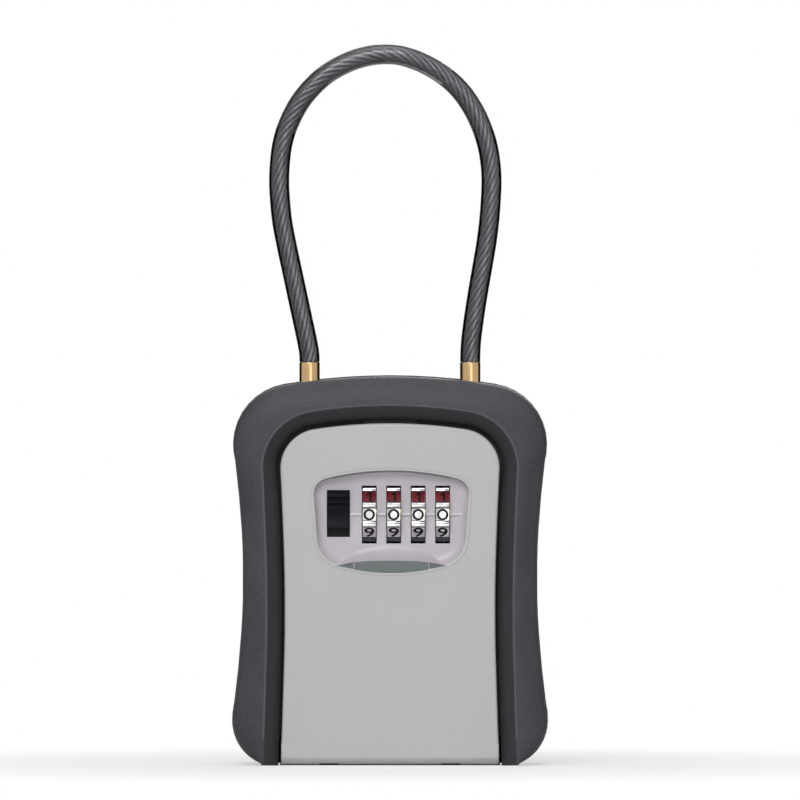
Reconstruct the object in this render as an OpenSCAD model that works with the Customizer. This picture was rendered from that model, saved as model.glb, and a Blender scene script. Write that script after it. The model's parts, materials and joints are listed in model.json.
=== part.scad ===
/* [Body] */
// Height of the body without the shackle
body_h = 115; // [112:1:140]
// Half width of the body at its shoulders
shoulder_w = 46.6; // [45:0.2:56]
// Half width of the body at its waist
waist_w = 43.7; // [42.5:0.1:50]
// Half width of the body at its foot
foot_w = 46.9; // [45:0.1:56]
// Depth of the body from the front crease to the back pad
body_d = 40; // [38:1:56]
// Width of the case's flange that shows round the surround
flange_show = 0.3; // [0:0.05:0.5]
// Wall of the surround
surround_wall = 1.7; // [1.2:0.1:2.1]
// Wall of the case shell
case_wall = 2.2; // [1.6:0.1:2.6]
// Thickness of the back plate
back_t = 2.2; // [1.8:0.1:3]
// Thickness of the back pad
pad_t = 1.4; // [0.8:0.1:3]

/* [Door] */
// Half width of the door at its top corners
door_top_w = 32.3; // [31:0.1:34]
// Half width of the door at its waist
door_waist_w = 31; // [30:0.1:33]
// Half width of the door at its foot
door_foot_w = 32.2; // [31:0.1:33]
// Distance from the top of the body down to the top of the door
door_drop = 14.2; // [14:0.1:18]
// Thickness of the door plate
door_t = 2; // [1.6:0.1:2.4]
// Gap round the door
door_gap = 0.7; // [0.4:0.1:1]
// Lap of the door over the ledge that it shuts on
ledge_lap = 2.6; // [2:0.1:3.2]
// Radius of the hinge pin
hinge_r = 1.2; // [0.8:0.1:1.5]
// Height of the hinge pin above the foot
hinge_z = 4.2; // [4:0.1:5]

/* [Dials] */
// Number of dials
dial_count = 4; // [3:1:4]
// Radius of a dial over its ridges
dial_r = 9.5; // [7.9:0.1:10]
// Width of a dial
dial_w = 3.9; // [3.2:0.1:4.1]
// Distance from one dial to the next
dial_pitch = 7.2; // [7:0.1:7.6]
// Height of the dial axis above the foot
dial_z = 73.9; // [71:0.1:74.5]
// Radius of the spindle
spindle_r = 2; // [1.6:0.1:2.2]
// Travel of the opening button
button_travel = 2; // [1.6:0.1:2.2]
// Travel of the code-change comb
change_travel = 1.5; // [1.4:0.05:1.6]

/* [Shackle] */
// Distance between the two ferrules
shackle_pitch = 47.5; // [44:0.5:49]
// Outside diameter of the cable
cable_d = 6; // [5:0.1:7.2]
// Diameter of the wire rope in the cable
rope_d = 3.2; // [2.6:0.1:4.6]
// Radius of a ferrule
ferrule_r = 3.05; // [2.8:0.05:3.7]
// Radius of the neck that the release plate grips
neck_r = 1.9; // [1.5:0.1:2.1]
// Travel of the release plate
release_travel = 3.8; // [3.4:0.1:4.4]

/* [Wall screws] */
// Radius of a wall-screw hole
wall_hole_r = 2.25; // [1.5:0.05:3]
// Sideways distance between wall-screw holes
wall_hole_x = 38; // [30:1:44]
// Upright distance between wall-screw holes
wall_hole_z = 56; // [40:1:60]

/* [Hidden] */
$fn = 48;
// Small reach of a cut past a face
eps = 0.05;
// Running clearance of shafts and slides
run = 0.05;
// Clearance between pieces that pass each other
gap = 0.3;

// Planes through the depth, from front to back
y_front = -body_d / 2;
y_back = body_d / 2;
door_front = y_front + 2;
door_back = door_front + door_t;
chamfer_y = y_front + 3.8;
case_front = y_front + 6.4;
ledge_t = 2;
case_back = y_back - pad_t;
cavity_back = case_back - back_t;
flange_t = 1.4;
flange_front = cavity_back - flange_t;

// Outline of the body: corner arcs, a flat arch on top and a drawn-in waist
shoulder_r = 18.2;
shoulder_z = body_h - 20.5;
foot_r = 13.2;
waist_low = 50;
waist_high = 60;
// Angle at which a corner arc runs into the waist
lean = 8;
// Outline of the door
door_top = body_h - door_drop;
door_r = 11.7;
door_corner_z = door_top - 13.3;
door_floor = 0.35;
// Distance of the surround's crease from the door's edge
crease_out = 5.2;

function arc(cx, cz, r, a0, a1, n) =
    [for (k = [0:n]) let (a = a0 + (a1 - a0) * k / n) [cx + r * cos(a), cz + r * sin(a)]];
// Right half of a crown: a corner arc about [cx, cz] that runs without a kink into a flat arch,
// whose middle is at height top
function crown(cx, cz, r, top, a0, n) = let (
    rise = top - cz - r,
    reach = (cx * cx + rise * rise) / (2 * rise),
    a1 = atan2(reach - rise, cx),
    flat = arc(0, top - reach - r, reach + r, a1, 90, 5))
    concat(arc(cx, cz, r, a0, a1, n), [for (k = [1:5]) flat[k]]);
function reversed(p) = [for (k = [len(p) - 1:-1:0]) p[k]];
// Whole outline from its right half, which starts low on the right and ends at the top middle
function mirrored(half) = concat(half,
    [for (p = reversed(half)) if (p[0] > 0.01) [-p[0], p[1]]]);
function side_w(z) = z < waist_low
    ? waist_w + (foot_w - waist_w) * pow((waist_low - z) / (waist_low - foot_r), 1.6)
    : waist_w + (shoulder_w - waist_w) * pow(max(0, z - waist_high) / (shoulder_z - waist_high), 1.6);
function door_w(z) = z < 40
    ? door_waist_w + (door_foot_w - door_waist_w) * pow(min(1, (40 - z) / 40), 1.2)
    : door_waist_w + (door_top_w - door_waist_w)
        * pow(min(1, max(0, z - 50) / (door_corner_z - 50)), 1.5);
// Both outlines have as many points, which pair up one to one from foot to top
foot_steps = 8;
side_steps = 14;
corner_steps = 9;
function side_heights(top) = [for (k = [0:side_steps])
    foot_r + 5 + k * (top - 10 - foot_r) / side_steps];
body_outline = mirrored(concat(
    arc(foot_w - foot_r, foot_r, foot_r, -90, lean, foot_steps),
    [for (z = side_heights(shoulder_z)) [side_w(z), z]],
    crown(shoulder_w - shoulder_r, shoulder_z, shoulder_r, body_h, -lean, corner_steps)));
door_outline = mirrored(concat(
    [for (k = [0:foot_steps]) let (z = -2 + k * (foot_r + 2) / foot_steps) [door_w(z), z]],
    [for (z = side_heights(door_corner_z)) [door_w(z), z]],
    crown(door_top_w - door_r, door_corner_z, door_r, door_top, 0, corner_steps)));

// Outline moved inwards by d, or outwards where d is below 0
function unit(v) = v / max(norm(v), 1e-6);
function left_of(v) = [-v[1], v[0]];
function moved_in(p, d) = let (n = len(p)) [for (k = [0:n - 1]) let (
    a = left_of(unit(p[k] - p[(k + n - 1) % n])),
    b = left_of(unit(p[(k + 1) % n] - p[k])),
    m = unit(a + b))
    p[k] + m * d / (m * b)];
// Outline whose lowest point is raised to foot, with the points up to the knee drawn together
function lifted(p, foot) = let (low = p[0][1], knee = foot_r + 2) [for (q = p) q[1] < knee
    ? [q[0], foot + (q[1] - low) * (knee - foot) / (knee - low)]
    : q];
function round_door(out, foot) = lifted(moved_in(door_outline, -out), foot);
function surround_line(d) = moved_in(body_outline, flange_show + d);
// Inside of the surround's wall, which the case fits with a small clearance
case_out = flange_show + surround_wall;
case_fit = 0.1;
// Wall of the case round the door's opening
rib_t = 2;
body_inside = moved_in(body_outline, case_out);
opening = moved_in(door_outline, -door_gap);

// Hinge of the door
hinge_y = door_front + 3.4;
barrel_r = hinge_z - door_floor;
plate_foot = hinge_z - 1.3;
barrel_w = door_foot_w - 1.4;
hinge_room = door_foot_w + door_gap;
lug_x = 18;
lug_w = 5;
lug_r = hinge_r + 1.1;
// Reach of a lug's arm below and above the pin, and the room round the door's barrel
lug_under = 1.2;
lug_over = 1.7;
barrel_room = 0.45;
sill_front = hinge_y + barrel_r + barrel_room;
sill_w = door_foot_w + 0.2;
sill_top = case_out + case_fit + 1.3;

// Dials and the button beside them
axis_y = door_front - 0.2 + dial_r;
dials_mid = 4.7;
function dial_x(i) = dials_mid + (i - (dial_count - 1) / 2) * dial_pitch;
dial_side = 0.235;
button_x = -15.2;
button_w = 6.76;
button_z = dial_z + 0.3;
button_h = 13.8;
knob_h = button_h - 3.05;
flat_cut = 0.6;

// Bezel: a dished recess that holds the windows and the finger pull
bezel_left = button_x - button_w / 2 - 3.9;
bezel_right = dial_x(dial_count - 1) + dial_w / 2 + dial_side + 5.6;
bezel_x = (bezel_left + bezel_right) / 2;
bezel_w = (bezel_right - bezel_left) / 2;
bezel_high = dial_z + 12.9;
bezel_low = dial_z - 17.2;
bezel_low_w = bezel_w - 0.9;
lip_w = bezel_w - 6.7;
lip_out = 2;
floor_y = door_front + 2.9;
pan_back = floor_y + 1.7;
rim_w = 2;
rim_t = 1.2;
bezel_half = concat(
    reversed([for (p = crown(bezel_low_w - 8.5, -(dial_z - 6.7), 8.5, -bezel_low, 0, 6)) [p[0], -p[1]]]),
    crown(bezel_w - 5, dial_z + 5.7, 5, bezel_high, 0, 6));
bezel_outline = [for (p = concat([for (k = [1:len(bezel_half) - 1]) bezel_half[k]],
    [for (k = [len(bezel_half) - 2:-1:0]) [-bezel_half[k][0], bezel_half[k][1]]]))
    [bezel_x + p[0], p[1]]];
window_h = 2 * (sqrt(dial_r * dial_r - pow(axis_y - pan_back, 2)) + 0.25);

// Code sleeves: a flange beside each dial with a gate on top and two notches for the comb
sleeve_r = spindle_r + 1.2;
flange_r = 5.2;
flange_w = 1.4;
flange_off = 0.25;
function flange_x(i) = dial_x(i) + dial_w / 2 + flange_off;
gate_w = 2.2;
gate_floor = 3.4;
tooth_w = dial_pitch - dial_w - flange_off - flange_w - 0.5;
left_lug = dial_x(0) - dial_w / 2 - 0.35;
right_lug = dial_x(dial_count - 1) - dial_w / 2 + dial_pitch;
lug_t = 1.6;
clip_t = 0.7;

// Fence slide, bolt and keeper
slide_left = button_x - 4.8;
slide_right = left_lug - lug_t - 0.2;
slide_front = pan_back + gap;
slide_t = 1.5;
bar_low = dial_z + dial_r + button_travel + 0.5;
bar_high = bar_low + 3;
button_spring_d = 2.4;
bolt_spring_d = 2;
spring_y = pan_back + 1.3;
bolt_spring_y = spring_y - 0.1;
bar_front = max(axis_y - 1.2, bolt_spring_y + bolt_spring_d / 2 + gap);
bar_back = axis_y + 1.1;
fence_t = 1.8;
keeper_t = 1.3;
keeper_low = door_top - ledge_lap;
keeper_screw_z = door_top + 4.6;
keeper_high = keeper_screw_z + 2.3;
keeper_w = 8;
keeper_screw_x = 5;
bolt_w = 6;
bolt_t = 2;
bolt_front = case_front + gap;
bolt_low = bar_high + 0.9;
bolt_high = keeper_low - 0.4;
bolt_pin_z = bolt_low + 4.2;
bolt_pin_r = 0.8;
tab_front = bolt_front + bolt_t + 0.4;
// Head of the clips on the spindle
clip_r = spindle_r + 0.6;
clip_end = left_lug - lug_t - clip_t - 0.6;
rest_t = 1.2;
bolt_rest = bolt_low - 4.6;
button_rest = dial_z - 12.5;
button_rest_x = 1.5;

// Mechanism cover on the inside of the door
cover_in = axis_y + dial_r + 1.7;
cover_t = 1.2;
cover_low = dial_z - 19;
cover_high = max(bar_high + 2.2, bezel_high + 4.3);
cover_w = bezel_w + 4;
post_r = 2.2;
post_x = cover_w - cover_t - gap - post_r;
comb_front = axis_y + dial_r + gap;
comb_back = cover_in - gap;
comb_grip = 4;

// Release of the shackle, under the top wall
shackle_y = 2;
shackle_x = shackle_pitch / 2;
ferrule_up = 3.8;
ferrule_top = body_h + ferrule_up;
// Depth of the rope in a ferrule, and the bore there, which clears the corners of the faceted rope
crimp_depth = 11;
rope_bore_r = rope_d / 2 * 1.02 + run;
plate_low = body_h - 20.6;
plate_t = 1.5;
housing_low = plate_low + plate_t + gap;
boss_r = ferrule_r + 2;
plate_w = shackle_x + neck_r + 2;
plate_front = shackle_y - 10;
prong_tip = shackle_y - ferrule_r - 0.2;
retainer_t = 0.8;
retainer_w = 16;
retainer_back = shackle_y + 4.4;
retainer_screw_x = 11;
retainer_screw_y = shackle_y + 2.9;
spring_x = 12;
release_spring_d = 2;
// Middle of the four wall-screw holes
wall_mid_z = 50;

// Screws: radius, length, radius of the head and height of the head
surround_screw = [1.05, 14.6, 2.5, 1.1];
keeper_screw = [0.95, 6, 1.8, 0.7];
retainer_screw = [0.95, 7, 1.9, 0.9];
cover_screw = [0.85, 6, 1.9, 0.8];
// Holes of a screw: the one that it cuts its thread in, the one that it passes and the sink of its head
function thread_r(s) = s[0] + run;
function pass_r(s) = s[0] + 0.2;
function sink_r(s) = s[2] + 0.1;
head_sink = surround_screw[3] + 0.1;
keeper_sink = 0.6;
surround_boss_r = surround_screw[0] + 1.5;
case_pad_r = surround_boss_r + 0.8;
case_pad_t = 5;

// Route of the cable as x and z, from the left ferrule to the right one
route = [
    [-23.8, 118.8], [-23.9, 121.5], [-24.6, 125.5], [-26, 132], [-27.5, 139], [-29.1, 146.5],
    [-30.6, 153.5], [-31.9, 160.5], [-32.6, 167.5], [-32.8, 173], [-32.5, 178.5], [-31.9, 183],
    [-30.7, 187.5], [-28.9, 191.7], [-26.6, 195.8], [-23.5, 199.7], [-19.7, 203.3], [-15, 206.3],
    [-9.5, 208.6], [-3.6, 209.8], [2.2, 209.7], [7.6, 208.2], [12.6, 205.8], [16.9, 202.9],
    [20.4, 199.6], [23.2, 195.9], [25.6, 191.7], [27.5, 187.2], [28.9, 182.5], [29.7, 177.5],
    [30, 172.5], [29.8, 167], [29.3, 160.5], [28.4, 153.5], [27.2, 146.5], [26, 139.5],
    [24.9, 132.5], [24, 125.5], [23.75, 121.5], [23.7, 118.8]];
// The ends of the route meet the ferrules at their own places
lift = ferrule_top - 118.8;
cable_route = [for (p = route) let (t = min(1, max(0, (p[1] - 118.8) / 40)))
    [p[0] + sign(p[0]) * (1 - t) * (shackle_x - 23.75), shackle_y, p[1] + lift]];
first = cable_route[0];
last = cable_route[len(route) - 1];

// Plate with a given outline in X and Z, from y0 back to y1
module plate(points, y0, y1) {
    translate([0, y1, 0]) rotate([90, 0, 0]) linear_extrude(y1 - y0) polygon(points);
}
// Solid through rings of equally many points; each ring is [points, y], the front one first
module lofted(rings) {
    n = len(rings[0][0]);
    m = len(rings);
    polyhedron(
        points = [for (r = rings) for (p = r[0]) [p[0], r[1], p[1]]],
        faces = concat(
            [[for (k = [n - 1:-1:0]) k]],
            [for (j = [0:m - 2]) for (k = [0:n - 1]) let (k2 = (k + 1) % n)
                [j * n + k, j * n + k2, (j + 1) * n + k2, (j + 1) * n + k]],
            [[for (k = [0:n - 1]) (m - 1) * n + k]]),
        convexity = 10);
}
module y_cylinder(x, z, r, y0, y1) {
    translate([x, y1, z]) rotate([90, 0, 0]) cylinder(r = r, h = y1 - y0);
}
module x_cylinder(y, z, r, x0, x1) {
    translate([x0, y, z]) rotate([0, 90, 0]) cylinder(r = r, h = x1 - x0);
}
module block(a, b) {
    translate(a) cube(b - a);
}
module both_sides() {
    children();
    mirror([1, 0, 0]) children();
}
// Screw along +Z, with the underside of its head at the origin
module screw(size) {
    head_r = size[2];
    head_t = size[3];
    difference() {
        union() {
            translate([0, 0, -head_t]) cylinder(r = head_r, h = head_t);
            cylinder(r = size[0], h = size[1]);
        }
        for (a = [0, 90]) rotate(a) translate([-head_r * 0.6, -head_r * 0.12, -head_t - eps])
            cube([head_r * 1.2, head_r * 0.24, head_t * 0.5 + eps]);
    }
}
// Faces of a closed sleeve that runs over m stretches between rings of n points
function sleeve(m, n) = concat(
    [[for (j = [0:n - 1]) j]],
    [for (k = [0:m - 1]) for (j = [0:n - 1]) let (
        a = k * n + j,
        b = k * n + (j + 1) % n)
        each [[a, b + n, b], [a, a + n, b + n]]],
    [[for (j = [n - 1:-1:0]) m * n + j]]);
// Tube or rod of n sides swept along a list of points that lie in one upright plane
function tangent(p, k) = unit(p[min(k + 1, len(p) - 1)] - p[max(k - 1, 0)]);
function ring_at(p, k, r, n) = let (t = tangent(p, k), side = unit(cross([0, 1, 0], t)))
    [for (j = [0:n - 1]) let (a = 360 * (j + 0.5) / n) p[k] + r * (side * cos(a) + [0, 1, 0] * sin(a))];
module swept(p, r, n) {
    m = len(p);
    polyhedron(
        points = [for (k = [0:m - 1]) each ring_at(p, k, r / cos(90 / n), n)],
        faces = sleeve(m - 1, n),
        convexity = 10);
}
// Coil spring along +Z with its ends at 0 and h
module coil(d, wire, h, turns) {
    per = 8;
    n = 6;
    count = per * turns;
    mid = (d - wire) / 2;
    rise = h - wire;
    slope = atan2(rise, turns * 2 * PI * mid);
    function wire_ring(k) = let (a = 360 * k / per, out = [cos(a), sin(a), 0],
        up = [sin(a) * sin(slope), -cos(a) * sin(slope), cos(slope)],
        c = out * mid + [0, 0, wire / 2 + rise * k / count])
        [for (j = [0:n - 1]) let (b = 360 * (j + 0.5) / n) c + wire / 2 * (out * cos(b) + up * sin(b))];
    polyhedron(
        points = [for (k = [0:count]) each wire_ring(k)],
        faces = sleeve(count, n),
        convexity = 10);
}

module case_shell() {
    inside = moved_in(body_inside, case_fit);
    color([0.13, 0.13, 0.14]) difference() {
        union() {
            difference() {
                union() {
                    plate(inside, case_front, flange_front + eps);
                    plate(body_outline, flange_front, cavity_back);
                }
                // Channel between the outer wall and the wall round the opening
                difference() {
                    plate(moved_in(inside, case_wall), case_front - eps, flange_front - 1);
                    plate(moved_in(opening, -rib_t), case_front - 1, flange_front);
                }
                plate(opening, case_front + ledge_t, cavity_back + eps);
                plate(moved_in(door_outline, ledge_lap), case_front - eps, case_front + ledge_t + eps);
            }
            // Sill under the cavity, which lies over the feet of the surround, and the two hinge lugs
            block([-sill_w, sill_front, 0], [sill_w, cavity_back, sill_top]);
            block([-hinge_room - 1, sill_front, case_out + case_fit], [hinge_room + 1, cavity_back, sill_top]);
            both_sides() translate([lug_x - lug_w / 2, 0, 0]) {
                x_cylinder(hinge_y, hinge_z, lug_r, 0, lug_w);
                block([0, hinge_y, hinge_z - lug_under], [lug_w, sill_front + 3, hinge_z + lug_over]);
                block([0, sill_front, 0], [lug_w, sill_front + 3, hinge_z + lug_over]);
            }
            // Sockets of the shackle and the housing between them
            both_sides() translate([shackle_x, shackle_y, housing_low])
                cylinder(r = boss_r, h = body_h - case_out - 3 - housing_low);
            block([-retainer_w, plate_front - 0.4, housing_low], [retainer_w, retainer_back, door_top + 2]);
            // Seats of the keeper and of the screws through the back
            block([-keeper_w - 0.5, case_front, door_top + 2],
                [keeper_w + 0.5, case_front + 7, door_top + 7.5]);
            surround_screw_places() y_cylinder(0, 0, case_pad_r, flange_front - case_pad_t, flange_front);
        }
        // Room for the hinge barrel, and for the bolt behind the keeper
        both_sides() {
            x_cylinder(hinge_y, hinge_z, barrel_r + barrel_room, lug_x + lug_w / 2 + eps, hinge_room);
            block([lug_x + lug_w / 2, case_front - 1, -1],
                [hinge_room, sill_front, hinge_z + barrel_r + barrel_room]);
        }
        block([-keeper_w - 0.2, case_front - eps, keeper_low - 2],
            [keeper_w + 0.2, case_front + ledge_t + eps, door_top + door_gap]);
        x_cylinder(hinge_y, hinge_z, hinge_r + run / 2, -40, 40);
        both_sides() translate([shackle_x, shackle_y, housing_low - 1])
            cylinder(r = ferrule_r + 0.08, h = body_h - housing_low);
        both_sides() translate([retainer_screw_x, retainer_screw_y, housing_low - eps])
            cylinder(r = thread_r(retainer_screw), h = retainer_screw[1] - 2);
        both_sides() y_cylinder(keeper_screw_x, keeper_screw_z, thread_r(keeper_screw), case_front - eps,
            case_front + keeper_screw[1] + gap);
        surround_screw_places()
            y_cylinder(0, 0, pass_r(surround_screw), flange_front - case_pad_t - 1, cavity_back + eps);
    }
}
// Plate that closes the back, held by the screws of the surround
module back_plate() {
    color([0.12, 0.12, 0.13]) difference() {
        plate(body_outline, cavity_back, case_back);
        surround_screw_places() {
            y_cylinder(0, 0, pass_r(surround_screw), cavity_back - eps, case_back + eps);
            y_cylinder(0, 0, sink_r(surround_screw), case_back - head_sink, case_back + eps);
        }
        wall_holes(cavity_back - eps, case_back + eps);
    }
}
module wall_holes(y0, y1) {
    for (x = [-1, 1], z = [-1, 1])
        y_cylinder(x * wall_hole_x / 2, wall_mid_z + z * wall_hole_z / 2, wall_hole_r, y0, y1);
}
// In the middle of the channel, near the four corners
module surround_screw_places() {
    for (s = [-1, 1], z = [22, shoulder_z - 5])
        translate([s * (side_w(z) - case_out - case_wall + door_w(z) + door_gap + rib_t) / 2, 0, z])
            children();
}

module surround() {
    back = flange_front - 0.15;
    color([0.23, 0.23, 0.25]) difference() {
        union() {
            difference() {
                // Front and sides, from the crease back to the flange of the case
                intersection() {
                    lofted([
                        [round_door(crease_out - 0.5, 5), y_front - 0.2],
                        [surround_line(3.7), y_front + 1.55],
                        [surround_line(2), y_front + 2.7],
                        [surround_line(0.8), y_front + 4],
                        [surround_line(0.25), y_front + 5.1],
                        [surround_line(0), case_front],
                        [surround_line(0), back + 1]]);
                    block([-80, y_front, -5], [80, back, body_h + 5]);
                }
                // Chamfer that falls from the crease to the opening of the door
                lofted([
                    [round_door(crease_out + 0.5, -4), y_front - 0.4],
                    [round_door(door_gap, -4), chamfer_y],
                    [round_door(door_gap, -4), y_back]]);
                plate(body_inside, case_front, y_back);
            }
            surround_screw_places()
                y_cylinder(0, 0, surround_boss_r, case_front - eps, flange_front - case_pad_t - 0.15);
        }
        surround_screw_places() y_cylinder(0, 0, thread_r(surround_screw),
            case_back - surround_screw[1] - 3, flange_front - case_pad_t);
        both_sides() translate([shackle_x, shackle_y, body_h - 12]) cylinder(r = ferrule_r + 0.3, h = 20);
        // Pocket for the keeper, and the foot left open under the door
        block([-keeper_w - gap, case_front - keeper_t - gap, door_top],
            [keeper_w + gap, case_front + 1, keeper_high + gap]);
        block([-sill_w - 0.5, case_front - 2, -1], [sill_w + 0.5, y_back, case_out + 5]);
    }
}
module surround_screws() {
    color([0.7, 0.7, 0.72]) surround_screw_places()
        translate([0, case_back - head_sink, 0]) rotate([90, 0, 0]) screw(surround_screw);
}
module back_pad() {
    color([0.1, 0.1, 0.1]) difference() {
        plate(moved_in(body_outline, 2.5), case_back, y_back);
        wall_holes(case_back - 1, y_back + 1);
    }
}
module hinge_pin() {
    color([0.75, 0.75, 0.77]) x_cylinder(hinge_y, hinge_z, hinge_r, -barrel_w, barrel_w);
}
// Plate that the bolt catches behind, screwed to the front of the case
module keeper() {
    color([0.7, 0.7, 0.72]) difference() {
        block([-keeper_w, case_front - keeper_t, keeper_low], [keeper_w, case_front, keeper_high]);
        both_sides() {
            y_cylinder(keeper_screw_x, keeper_screw_z, pass_r(keeper_screw), case_front - 2, case_front + 1);
            y_cylinder(keeper_screw_x, keeper_screw_z, sink_r(keeper_screw),
                case_front - 2, case_front - keeper_sink);
        }
    }
}
module keeper_screws() {
    color([0.6, 0.6, 0.62]) both_sides() translate([keeper_screw_x, case_front - keeper_sink, keeper_screw_z])
        rotate([-90, 0, 0]) screw(keeper_screw);
}

// Plate that slides back to grip the two ferrule necks, drawn at its released end
module release_plate() {
    color([0.72, 0.72, 0.74]) difference() {
        union() {
            block([-plate_w, plate_front, plate_low], [plate_w, prong_tip, plate_low + plate_t]);
            block([-comb_grip, prong_tip - 1, plate_low], [comb_grip, shackle_y + 7, plate_low + plate_t]);
        }
        both_sides() {
            translate([shackle_x, shackle_y - release_travel, plate_low - 1])
                cylinder(r = neck_r + 0.1, h = plate_t + 2);
            block([shackle_x - neck_r - 0.1, shackle_y - release_travel, plate_low - 1],
                [shackle_x + neck_r + 0.1, shackle_y, plate_low + plate_t + 1]);
        }
    }
}
module release_tab() {
    y = shackle_y + 5.2;
    color([0.12, 0.12, 0.13]) difference() {
        block([-comb_grip, y, plate_low - 8], [comb_grip, y + 1.8, plate_low]);
        for (k = [0:3]) x_cylinder(y + 1.8, plate_low - 1.9 - 1.6 * k, 0.4, -comb_grip - 1, comb_grip + 1);
    }
}
module release_retainer() {
    low = plate_low - gap - retainer_t;
    color([0.66, 0.66, 0.68]) difference() {
        union() {
            block([-retainer_w, plate_front - 3.8, low], [retainer_w, retainer_back, low + retainer_t]);
            both_sides()
                block([comb_grip + 2, retainer_back - 3, low], [retainer_w, retainer_back, housing_low]);
            block([spring_x - 1.5, plate_front - 3.8, low],
                [spring_x + 1.5, plate_front - 3.2, housing_low - 0.1]);
        }
        block([-keeper_w - 1, plate_front - 5, low - 1], [keeper_w + 1, plate_front + 0.1, housing_low]);
        both_sides() translate([retainer_screw_x, retainer_screw_y, low - 1])
            cylinder(r = pass_r(retainer_screw), h = 8);
    }
}
module retainer_screws() {
    color([0.6, 0.6, 0.62]) both_sides()
        translate([retainer_screw_x, retainer_screw_y, plate_low - gap - retainer_t]) screw(retainer_screw);
}
module release_spring() {
    color([0.8, 0.8, 0.82])
        translate([spring_x, plate_front - 3.2, (plate_low - gap + housing_low) / 2]) rotate([-90, 0, 0])
            coil(release_spring_d, 0.35, 3.2, 5);
}

module cable_jacket() {
    color([0.2, 0.2, 0.21]) difference() {
        swept(cable_route, cable_d / 2, 12);
        swept(concat([first - [0, 0, 1]], cable_route, [last - [0, 0, 1]]), rope_d / 2 + run, 12);
    }
}
module wire_rope() {
    color([0.65, 0.65, 0.67])
        swept(concat([first - [0, 0, crimp_depth]], cable_route, [last - [0, 0, crimp_depth]]), rope_d / 2, 12);
}
// Brass end with a neck for the release plate and a bore that holds the rope
module ferrule(x) {
    neck_low = plate_low - 0.2;
    neck_high = plate_low + plate_t + 0.2;
    color([0.83, 0.68, 0.4]) translate([x, shackle_y, 0]) difference() {
        union() {
            translate([0, 0, neck_low - 1.2]) cylinder(r1 = ferrule_r - 0.5, r2 = ferrule_r, h = 0.5);
            translate([0, 0, neck_low - 0.7]) cylinder(r = ferrule_r, h = 0.7);
            translate([0, 0, neck_low - eps]) cylinder(r = neck_r, h = neck_high - neck_low + 2 * eps);
            translate([0, 0, neck_high]) cylinder(r = ferrule_r, h = ferrule_top - neck_high);
        }
        translate([0, 0, ferrule_top - crimp_depth - 0.2]) cylinder(r = rope_bore_r, h = crimp_depth + 1);
    }
}
module ferrule_left() { ferrule(first[0]); }
module ferrule_right() { ferrule(last[0]); }

module door_panel() {
    color([0.74, 0.73, 0.74]) difference() {
        union() {
            lofted([[round_door(-0.6, plate_foot), door_front],
                [round_door(0, plate_foot), door_front + 0.6],
                [round_door(0, plate_foot), door_back]]);
            intersection() {
                x_cylinder(hinge_y, hinge_z, barrel_r, -barrel_w, barrel_w);
                block([-60, door_front, 0], [60, y_back, 20]);
            }
            cover_screw_places() y_cylinder(0, 0, post_r, door_back - eps, cover_in);
            // Guide of the bolt
            block([-keeper_w, door_back - eps, bolt_low + 1.4], [keeper_w, bolt_front - gap, bolt_high - 1.4]);
            both_sides() block([bolt_w + 0.15, door_back - eps, bolt_low + 1.4],
                [keeper_w, bolt_front + bolt_t, bolt_high - 1.4]);
        }
        plate(moved_in(bezel_outline, -0.8), door_front - 1, door_back + 1);
        x_cylinder(hinge_y, hinge_z, hinge_r + run, -barrel_w - 1, barrel_w + 1);
        // Pockets round the hinge lugs of the case, which their arms leave towards the back and the foot
        both_sides() {
            x_cylinder(hinge_y, hinge_z, lug_r + gap, lug_x - lug_w / 2 - gap, lug_x + lug_w / 2 + gap);
            block([lug_x - lug_w / 2 - gap, hinge_y - lug_under - gap, -1],
                [lug_x + lug_w / 2 + gap, hinge_y + barrel_r + 1, hinge_z + lug_over + gap]);
        }
        cover_screw_places() y_cylinder(0, 0, thread_r(cover_screw), cover_in - cover_screw[1], cover_in + eps);
    }
}
module cover_screw_places() {
    inset = cover_t + gap + post_r;
    for (s = [-1, 1], z = [cover_low + inset, cover_high - inset])
        translate([bezel_x + s * post_x, 0, z]) children();
}
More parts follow.
